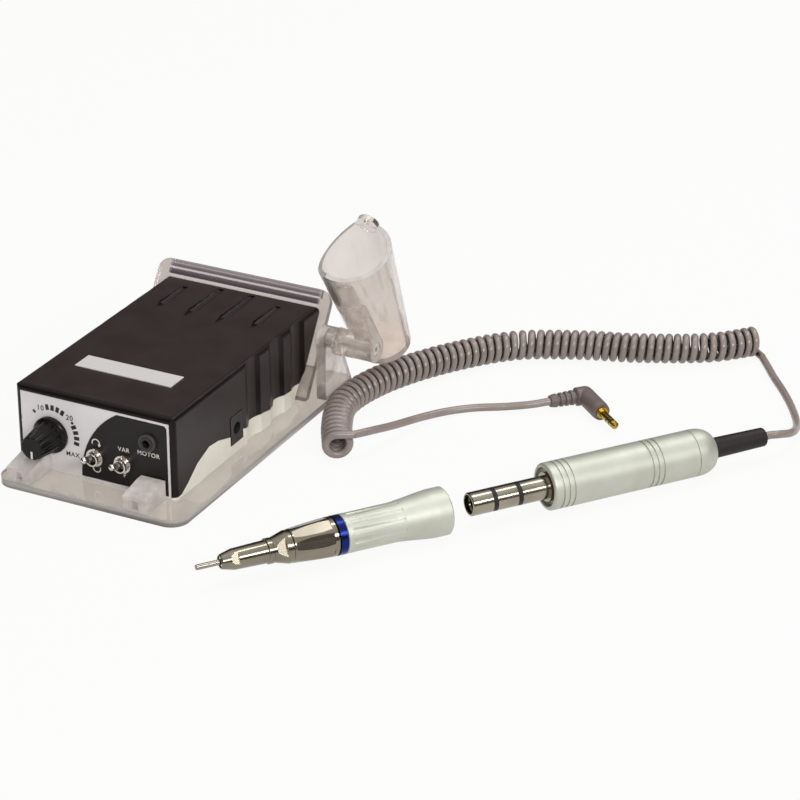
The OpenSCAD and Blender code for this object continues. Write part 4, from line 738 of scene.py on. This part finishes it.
@dataclass
class CoiledCord(SubAssembly):
    """The motor's cord: a lead from the boot, a wound coil and the lead to the plug, as one curve.

    Attributes:
        diameter: Diameter of the cord.
        stub: Length of the straight ends of a lead, and reach over which a way is taken.
        coil_radius: Radius of the coil at the middle of the cord.
        coil_height: Height of the coil's axis above the floor.
        turns: Whole turns in the coil, which ends half a turn later.
        per_turn: Points of the curve in each turn.
        axis_steps: Steps in each span of the coil's axis.
        lead_steps: Steps in each span of a lead.
        round_steps: Steps that round each quarter of the cord's section.
        opening: Opening of the turns where the coil bends.
        bend_reach: Reach over which the bend is taken.
        boot_end: Where the cord leaves the boot, in millimetres.
        plug_elbow: Corner of the plug, in millimetres.
        plug_tail: Length of the plug's ribbed tail, in millimetres.
        plug_heading: Way the cord goes into the plug, in degrees.
        coil_route: Points that the coil's axis passes, in millimetres.
        motor_route: Points between the boot and the coil, in millimetres.
        plug_route: Points between the coil and the plug, in millimetres.
    """

    diameter: float = 3.5 * MM
    stub: float = 3.3 * MM
    coil_radius: float = 5.2 * MM
    coil_height: float = 6.95 * MM
    turns: int = 63
    per_turn: int = 24
    axis_steps: int = 10
    lead_steps: int = 8
    round_steps: int = 5
    opening: float = 1.5
    bend_reach: float = 6 * MM
    boot_end: tuple[float, float, float] = (236, 92, 10.2)
    plug_elbow: tuple[float, float, float] = (146.6, 105, 4.3)
    plug_tail: float = 17
    plug_heading: float = 48
    coil_route: tuple[tuple[float, float], ...] = (
        (74, 7), (65, 23), (58, 40), (57, 54), (60, 70), (65, 84), (72, 98), (81, 112), (92, 126), (105, 137),
        (128, 148), (148, 155), (171, 166), (184, 175), (196, 188))
    motor_route: tuple[tuple[float, float, float], ...] = (
        (241, 98.4, 9.6), (243.4, 106, 7.4), (242, 117, 4.4), (238, 128, 2.6), (231, 141, 1.75),
        (223, 153, 1.75), (214, 165, 1.75), (207, 175, 1.75))
    plug_route: tuple[tuple[float, float, float], ...] = (
        (80.5, 12, 11.8), (83.5, 21, 10.2), (86.5, 35, 7), (91, 54, 3.6), (97, 67, 2), (106, 76, 1.75),
        (118, 82, 2.4), (128, 86.6, 3.6))

    def finishes(self) -> dict[str, Finish]:
        """Finish of each solid, by its name."""
        hidden = dict.fromkeys(("motor_lead", "cord_coil", "plug_lead"), CORD_PVC_PAINTED_GAP_SHADE)
        return {**hidden, "plug_body": PLUG_PVC, "plug_contacts": GOLD_PLATE, "plug_insulators": NITRILE}

    def turn_places(self, axis: Route) -> list[float]:
        """Share out the turns along the coil, more openly where it bends.

        Args:
            axis: Middle line of the coil.

        Returns:
            Run length along the axis of each step of the turns.
        """
        close = []
        for s in axis.run:
            a, b = max(s - self.bend_reach, 0.0), min(s + self.bend_reach, axis.length)
            bend = (axis.ahead(b, self.stub) - axis.ahead(a, self.stub)).length / (b - a)
            close.append(1 / (1 + self.opening * self.coil_radius * bend))
        wound = [0.0]
        for i in range(1, len(close)):
            wound.append(wound[-1] + (axis.run[i] - axis.run[i - 1]) * (close[i] + close[i - 1]) / 2)
        steps = self.turns * self.per_turn + self.per_turn // 2
        places = []
        for j in range(steps + 1):
            i, share = span(wound, wound[-1] * j / steps)
            places.append(axis.run[i - 1] + share * (axis.run[i] - axis.run[i - 1]))
        return places

    def coil(self) -> tuple[list[Vector], Vector, Vector]:
        """Wind the coil about its route, from the plug end to the motor end.

        Returns:
            The cord's middle line, and the way to the left of the route at its two ends.
        """
        corners = [Vector((x * MM, y * MM, self.coil_height)) for x, y in self.coil_route]
        axis = Route(spline(corners, self.axis_steps))
        line = []
        for j, s in enumerate(self.turn_places(axis)):
            angle = 2 * math.pi * j / self.per_turn
            facing = math.cos(angle) * Vector((0, 0, 1)) + math.sin(angle) * axis.left(s, self.stub)
            line.append(axis.centre(s) + self.coil_radius * facing)
        return line, axis.left(0.0, self.stub), axis.left(axis.length, self.stub)

    def lead(self, first: Vector, first_way: Vector, route: tuple[tuple[float, float, float], ...],
             last: Vector, last_way: Vector) -> list[Vector]:
        """Lay a free lead, straight for a short stub at each end.

        Args:
            first: Where the lead starts.
            first_way: The way it leaves.
            route: Points it passes, in millimetres.
            last: Where it ends.
            last_way: The way it arrives.

        Returns:
            Points along the lead.
        """
        between = [first + self.stub * first_way, *(Vector(p) * MM for p in route),
                   last - self.stub * last_way]
        return [first, *spline(between, self.lead_steps), last]

    def path(self) -> list[Vector]:
        """Middle line of the whole cord.

        Returns:
            Points from the boot to the plug.
        """
        coil, left_start, left_end = self.coil()
        coil_start = coil[0] - self.stub * left_start
        coil_end = coil[-1] - self.stub * left_end
        tool = Vector((math.cos(TOOL_ANGLE), math.sin(TOOL_ANGLE), 0))
        heading = math.radians(self.plug_heading)
        way = Vector((math.cos(heading), math.sin(heading), 0))
        entry = Vector(self.plug_elbow) * MM - self.plug_tail * MM * way
        from_motor = self.lead(Vector(self.boot_end) * MM, tool, self.motor_route, coil_end, left_end)
        to_plug = self.lead(coil_start, -left_start, self.plug_route, entry, way)
        return [*from_motor, *reversed(coil), *to_plug]

    def build(self) -> None:
        super().build()
        points = self.path()
        curve = bpy.data.curves.new("coiled_cord", "CURVE")
        curve.dimensions = "3D"
        curve.bevel_depth = self.diameter / 2
        curve.bevel_resolution = self.round_steps
        curve.use_fill_caps = True
        line = curve.splines.new("POLY")
        line.points.add(len(points) - 1)
        for dot, p in zip(line.points, points):
            dot.co = (*p, 1.0)
        line.use_smooth = True
        cord = add_object(curve)
        self.dresser.paint(cord, CORD_PVC_PAINTED_GAP_SHADE)
        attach(cord, Body.MOTOR.value)
        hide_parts("motor_lead", "cord_coil", "plug_lead")
        length = Route(points).length
        LOG.info("cord is %.3f m long", length)


@dataclass
class PanelPrint:
    """The plain marks on the front panel: dial blocks and numbers, words and turning arrows.

    Sizes are in millimetres, and places are across and up the panel from the middle of its foot.

    Attributes:
        dresser: Gives the marks their inks.
        origin: Middle of the panel's foot in the frame.
        white_face: Depth of the white panel's face.
        film_face: Depth of the black film's face.
        ink: Thickness of the ink.
        bold: Thickening of the white letters.
        bold_dark: Thickening of the black letters.
        spacing: Spacing of the letters.
        type_scale: Size of the type over the height of its capitals.
        knob: Place of the speed knob.
        toggles: Places of the direction and the mode switch.
        socket: Place of the motor socket.
        dial_radius: Radius of the dial marks.
        block_size: Width and length of a dial block.
        block_angles: Angles of the dial blocks, in degrees clockwise from the top.
        dots: Small dial marks: angle, distance past the dial's radius, width and length.
        dial_words: Words round the dial, each with its angle, radius and height.
        film_words: Words on the film, each with its distance above its control.
        film_type: Height of the words on the film.
        arrows: Turning arrows: distance above the direction switch, angles of the start and the head.
        arrow_radius: Radius of a turning arrow.
        arrow_half: Half the width of an arrow's band.
        arrow_head: Half the width of an arrow's head.
        arrow_tip: Length of an arrow's head over half its width.
        arrow_steps: Straight steps in an arrow's band.
    """

    dresser: Dresser
    origin: tuple[float, float, float] = (-4.5, -62.0, 3.2)
    white_face: float = 0.3
    film_face: float = 0.05
    ink: float = 0.03
    bold: float = 0.03
    bold_dark: float = 0.05
    spacing: float = 1.12
    type_scale: float = 1.4
    knob: tuple[float, float] = (-21.4, 17.7)
    toggles: tuple[tuple[float, float], tuple[float, float]] = ((0.4, 12.1), (14.1, 12.1))
    socket: tuple[float, float] = (26.2, 24.5)
    dial_radius: float = 12.2
    block_size: tuple[float, float] = (1.7, 2.6)
    block_angles: tuple[float, ...] = (-9, 3, 15, 27, 64, 76, 88, 100)
    dots: tuple[tuple[float, float, float, float], ...] = ((-44, 0.0, 1.2, 1.6), (55, 0.4, 1.2, 1.2))
    dial_words: tuple[tuple[str, float, float, float], ...] = (
        ("10", -26, 12.2, 2.4), ("20", 44, 13.0, 2.4), ("MAX", 128, 12.5, 2.1))
    film_words: tuple[tuple[str, float], ...] = (("VAR", 6.2), ("F", -5.9), ("MOTOR", -5.6))
    film_type: float = 2.0
    arrows: tuple[tuple[float, float, float], ...] = ((6.2, 200, -10), (-5.6, 20, -190))
    arrow_radius: float = 1.8
    arrow_half: float = 0.26
    arrow_head: float = 0.8
    arrow_tip: float = 1.6
    arrow_steps: int = 14

    def place(self, x: float, depth: float, z: float) -> Vector:
        """Point of the frame at a place on the panel."""
        return (Vector(self.origin) + Vector((x, depth, z))) * MM

    def add(self, data: bpy.types.ID, finish: Finish, at: Matrix) -> None:
        """Put a printed mark on the panel and let it ride on the control unit.

        Args:
            data: The mark's mesh or text.
            finish: The ink.
            at: Place of the mark.
        """
        piece = add_object(data)
        piece.matrix_world = at
        self.dresser.paint(piece, finish)
        bpy.context.view_layer.update()
        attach(piece, Body.CONTROL_UNIT.value)

    def outline(self, name: str, loops: list[list[tuple[float, float]]], face: float, finish: Finish) -> None:
        """Print closed outlines as thin flat prisms.

        Args:
            name: Name of the piece.
            loops: Corner points of each mark.
            face: Depth of the face they are printed on.
            finish: The ink.
        """
        verts: list[Vector] = []
        faces: list[list[int]] = []
        for loop in loops:
            start, n = len(verts), len(loop)
            for depth in (face - self.ink, face):
                verts += [self.place(x, depth, z) for x, z in loop]
            faces.append([start + i for i in range(n)])
            faces.append([start + n + i for i in reversed(range(n))])
            for i in range(n):
                k = (i + 1) % n
                faces.append([start + i, start + n + i, start + n + k, start + k])
        mesh = bpy.data.meshes.new(name)
        mesh.from_pydata(verts, [], faces)
        mesh.validate()
        self.add(mesh, finish, Matrix())

    def word(self, words: str, at: tuple[float, float], size: float, face: float, finish: Finish) -> None:
        """Print a short word or number, centred on a place.

        Args:
            words: What is printed.
            at: Place of its middle.
            size: Height of the type.
            face: Depth of the face it is printed on.
            finish: The ink.
        """
        text = bpy.data.curves.new("print_" + words.lower(), "FONT")
        text.body = words
        text.size = size * self.type_scale * MM
        text.space_character = self.spacing
        text.align_x = "CENTER"
        text.align_y = "CENTER"
        text.extrude = self.ink / 2 * MM
        text.offset = (self.bold_dark if finish is BLACK_INK else self.bold) * MM
        middle = self.place(at[0], face - self.ink / 2, at[1])
        self.add(text, finish, Matrix.Translation(middle) @ Matrix.Rotation(math.pi / 2, 4, "X"))

    def dial_place(self, angle: float, radius: float) -> Vector:
        """Place at an angle clockwise from the top of the dial."""
        a = math.radians(angle)
        return Vector(self.knob) + radius * Vector((math.sin(a), math.cos(a)))

    def block(self, angle: float, radius: float, width: float, length: float) -> list[tuple[float, float]]:
        """Corners of a dial block.

        Args:
            angle: Degrees clockwise from the top.
            radius: Radius of its middle.
            width: Width along the dial.
            length: Length out from the knob.

        Returns:
            The corners in order.
        """
        a = math.radians(angle)
        out, side = Vector((math.sin(a), math.cos(a))), Vector((math.cos(a), -math.sin(a)))
        middle = self.dial_place(angle, radius)
        corners = (middle + out * (length / 2 * i) + side * (width / 2 * j)
                   for i, j in ((-1, -1), (-1, 1), (1, 1), (1, -1)))
        return [tuple(c) for c in corners]

    def arrow(self, at: tuple[float, float], start: float, end: float) -> list[list[tuple[float, float]]]:
        """Outlines of a round arrow: its band and its head.

        Args:
            at: Centre of the arrow.
            start: Angle at which the band starts, in degrees.
            end: Angle at which the head sits, in degrees.

        Returns:
            Outlines of the band's pieces and the head.
        """
        def spot(r: float, degrees: float) -> Vector:
            """Place at a radius and an angle about the arrow's centre."""
            t = math.radians(degrees)
            return Vector(at) + r * Vector((math.cos(t), math.sin(t)))

        inner, outer = self.arrow_radius - self.arrow_half, self.arrow_radius + self.arrow_half
        bounds = [start + (end - start) * k / self.arrow_steps for k in range(self.arrow_steps + 1)]
        loops = [[spot(inner, a), spot(outer, a), spot(outer, b), spot(inner, b)]
                 for a, b in zip(bounds, bounds[1:])]
        quarter = math.copysign(90.0, end - start)
        reach = spot(self.arrow_tip * self.arrow_head, end + quarter) - Vector(at)
        loops.append([spot(self.arrow_radius - self.arrow_head, end),
                      spot(self.arrow_radius + self.arrow_head, end), spot(self.arrow_radius, end) + reach])
        return [[tuple(p) for p in loop] for loop in loops]

    def build(self) -> None:
        """Print every mark of the panel."""
        blocks = [self.block(a, self.dial_radius, *self.block_size) for a in self.block_angles]
        blocks += [self.block(angle, self.dial_radius + out, *size) for angle, out, *size in self.dots]
        self.outline("dial_blocks", blocks, self.white_face, BLACK_INK)
        for words, angle, radius, height in self.dial_words:
            self.word(words, tuple(self.dial_place(angle, radius)), height, self.white_face, BLACK_INK)
        (x, z), mode = self.toggles
        bands = [loop for up, start, end in self.arrows for loop in self.arrow((x, z + up), start, end)]
        self.outline("direction_arrows", bands, self.film_face, WHITE_INK)
        for (words, up), (x, z) in zip(self.film_words, (mode, mode, self.socket)):
            self.word(words, (x, z + up), self.film_type, self.film_face, WHITE_INK)


@dataclass(frozen=True)
class SoftBox:
    """A soft box that lights the set.

    Attributes:
        name: Name of the lamp.
        place: Its place.
        size: Its width and height.
        power: Its power in watts.
    """

    name: str
    place: tuple[float, float, float]
    size: tuple[float, float]
    power: float


@dataclass
class Studio:
    """Camera, floor, lamps and the surroundings.

    Attributes:
        eye: Camera place, in millimetres.
        ahead: Direction of view.
        lens: Focal length, in millimetres.
        sensor: Width of the camera's sensor, in millimetres.
        sight: How far the camera sees.
        floor_half: Half the floor's side.
        floor_drop: How far the floor lies below the set, so that the two faces don't meet.
        floor_colour: sRGB hex of the floor.
        floor_glow: Share of plain white in the floor as it is seen, which softens the shadow on it.
        room: sRGB hex of the dim room round the set.
        seen_through: sRGB hex of the room as clear pieces pass it on.
        dark_below: Height on a unit sphere below which the room is dim.
        white_above: Height on a unit sphere above which the ceiling is white.
        aim: Where the lamps point.
        boxes: The lamps. Their long sides lie along the tool and draw its highlights out into bands.
    """

    eye: tuple[float, float, float] = (617.6, -1002.4, 594.9)
    ahead: tuple[float, float, float] = (-0.4066, 0.7991, -0.4428)
    lens: float = 135.0
    sensor: float = 36.0
    sight: float = 20.0
    floor_half: float = 3.0
    floor_drop: float = 0.2 * MM
    floor_colour: str = "#cdc9c4"
    floor_glow: float = 0.92
    room: str = "#3b3430"
    seen_through: str = "#cfc9c2"
    dark_below: float = 0.5
    white_above: float = 0.85
    aim: tuple[float, float, float] = (0.1, 0.05, 0.02)
    boxes: tuple[SoftBox, ...] = (
        SoftBox("soft_box_right", (1.5, -1.1, 1.1), (2.2, 0.4), 33.0),
        SoftBox("soft_box_top", (0.3, 0.65, 1.45), (0.25, 1.8), 9.0))

    def camera(self) -> None:
        """Set the camera where the photograph was taken from."""
        data = bpy.data.cameras.new("camera")
        data.lens = self.lens
        data.sensor_width = self.sensor
        data.clip_end = self.sight
        camera = add_object(data)
        camera.location = Vector(self.eye) * MM
        camera.rotation_euler = Vector(self.ahead).to_track_quat("-Z", "Y").to_euler()
        bpy.context.scene.camera = camera

    def world(self) -> None:
        """Hold a dim room round the set for metals to mirror, which the camera sees as white."""
        world = bpy.data.worlds.new("studio_room")
        bpy.context.scene.world = world
        tree = empty_tree(world)
        way = add_node(tree, "TexCoord").outputs["Generated"]
        height = add_node(tree, "SeparateXYZ", None, {0: way}).outputs["Z"]
        rise = add_node(tree, "MapRange",
                        {"From Min": self.dark_below, "From Max": self.white_above}, {"Value": height})
        shade = add_node(tree, "MixRGB", {"Color1": linear(self.room), "Color2": WHITE},
                         {"Fac": rise.outputs["Result"]})
        ray = add_node(tree, "LightPath")
        seen = add_node(tree, "MixRGB", {"Color2": linear(self.seen_through)},
                        {"Fac": ray.outputs["Is Transmission Ray"], "Color1": shade.outputs["Color"]})
        beyond = add_node(tree, "MixRGB", {"Color2": WHITE},
                          {"Fac": ray.outputs["Is Camera Ray"], "Color1": seen.outputs["Color"]})
        sky = add_node(tree, "Background", {"Strength": 1.0}, {"Color": beyond.outputs["Color"]})
        add_node(tree, "OutputWorld", None, {"Surface": sky.outputs[0]})

    def floor(self) -> None:
        """Lay a pale floor that looks white, in metal and clear pieces too, and keeps a soft shadow."""
        half = self.floor_half
        corners = [(-half, -half, 0), (half, -half, 0), (half, half, 0), (-half, half, 0)]
        mesh = bpy.data.meshes.new("floor")
        mesh.from_pydata(corners, [], [(0, 1, 2, 3)])
        floor = add_object(mesh)
        floor.location = (0, 0, -self.floor_drop)
        material = bpy.data.materials.new("pale_floor")
        tree = empty_tree(material)
        matt = add_node(tree, "BsdfDiffuse", {"Color": linear(self.floor_colour)})
        glow = add_node(tree, "Emission", {"Color": WHITE, "Strength": 1.0})
        ray = add_node(tree, "LightPath")
        mirrored = add_node(tree, "Math", {"operation": "MAXIMUM"},
                            {0: ray.outputs["Is Glossy Ray"], 1: ray.outputs["Is Transmission Ray"]})
        seen = add_node(tree, "Math", {"operation": "MAXIMUM"},
                        {0: ray.outputs["Is Camera Ray"], 1: mirrored.outputs[0]})
        share = add_node(tree, "Math", {"operation": "MULTIPLY", 1: self.floor_glow}, {0: seen.outputs[0]})
        white = add_node(tree, "MixShader", None,
                         {0: share.outputs[0], 1: matt.outputs[0], 2: glow.outputs[0]})
        add_node(tree, "OutputMaterial", None, {"Surface": white.outputs[0]})
        mesh.materials.append(material)

    def lamp(self, box: SoftBox) -> None:
        """Hang a soft box aimed at the set.

        Args:
            box: The soft box.
        """
        data = bpy.data.lights.new(box.name, "AREA")
        data.shape = "RECTANGLE"
        data.size, data.size_y = box.size
        data.energy = box.power
        lamp = add_object(data)
        lamp.location = box.place
        lamp.rotation_euler = (Vector(self.aim) - lamp.location).to_track_quat("-Z", "Y").to_euler()

    def build(self) -> None:
        """Set up the whole studio."""
        bpy.context.scene.view_settings.view_transform = "Standard"
        self.camera()
        self.world()
        self.floor()
        for box in self.boxes:
            self.lamp(box)
        LOG.info("studio is set up")


def main() -> None:
    """Clear the start-up scene, load the frame, set up the studio, lay the cord, dress and print."""
    logging.basicConfig(level=logging.INFO, format="%(message)s")
    for piece in list(bpy.data.objects):
        bpy.data.objects.remove(piece)
    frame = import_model()
    Studio().build()
    dresser = Dresser(frame["nodes"])
    for group in (CoiledCord, Stand, Holder, ControlUnit, Controls, Motor, Handpiece):
        LOG.info("dressing the %s", group.__name__)
        group(dresser).build()
    PanelPrint(dresser).build()


if __name__ == "__main__":
    main()
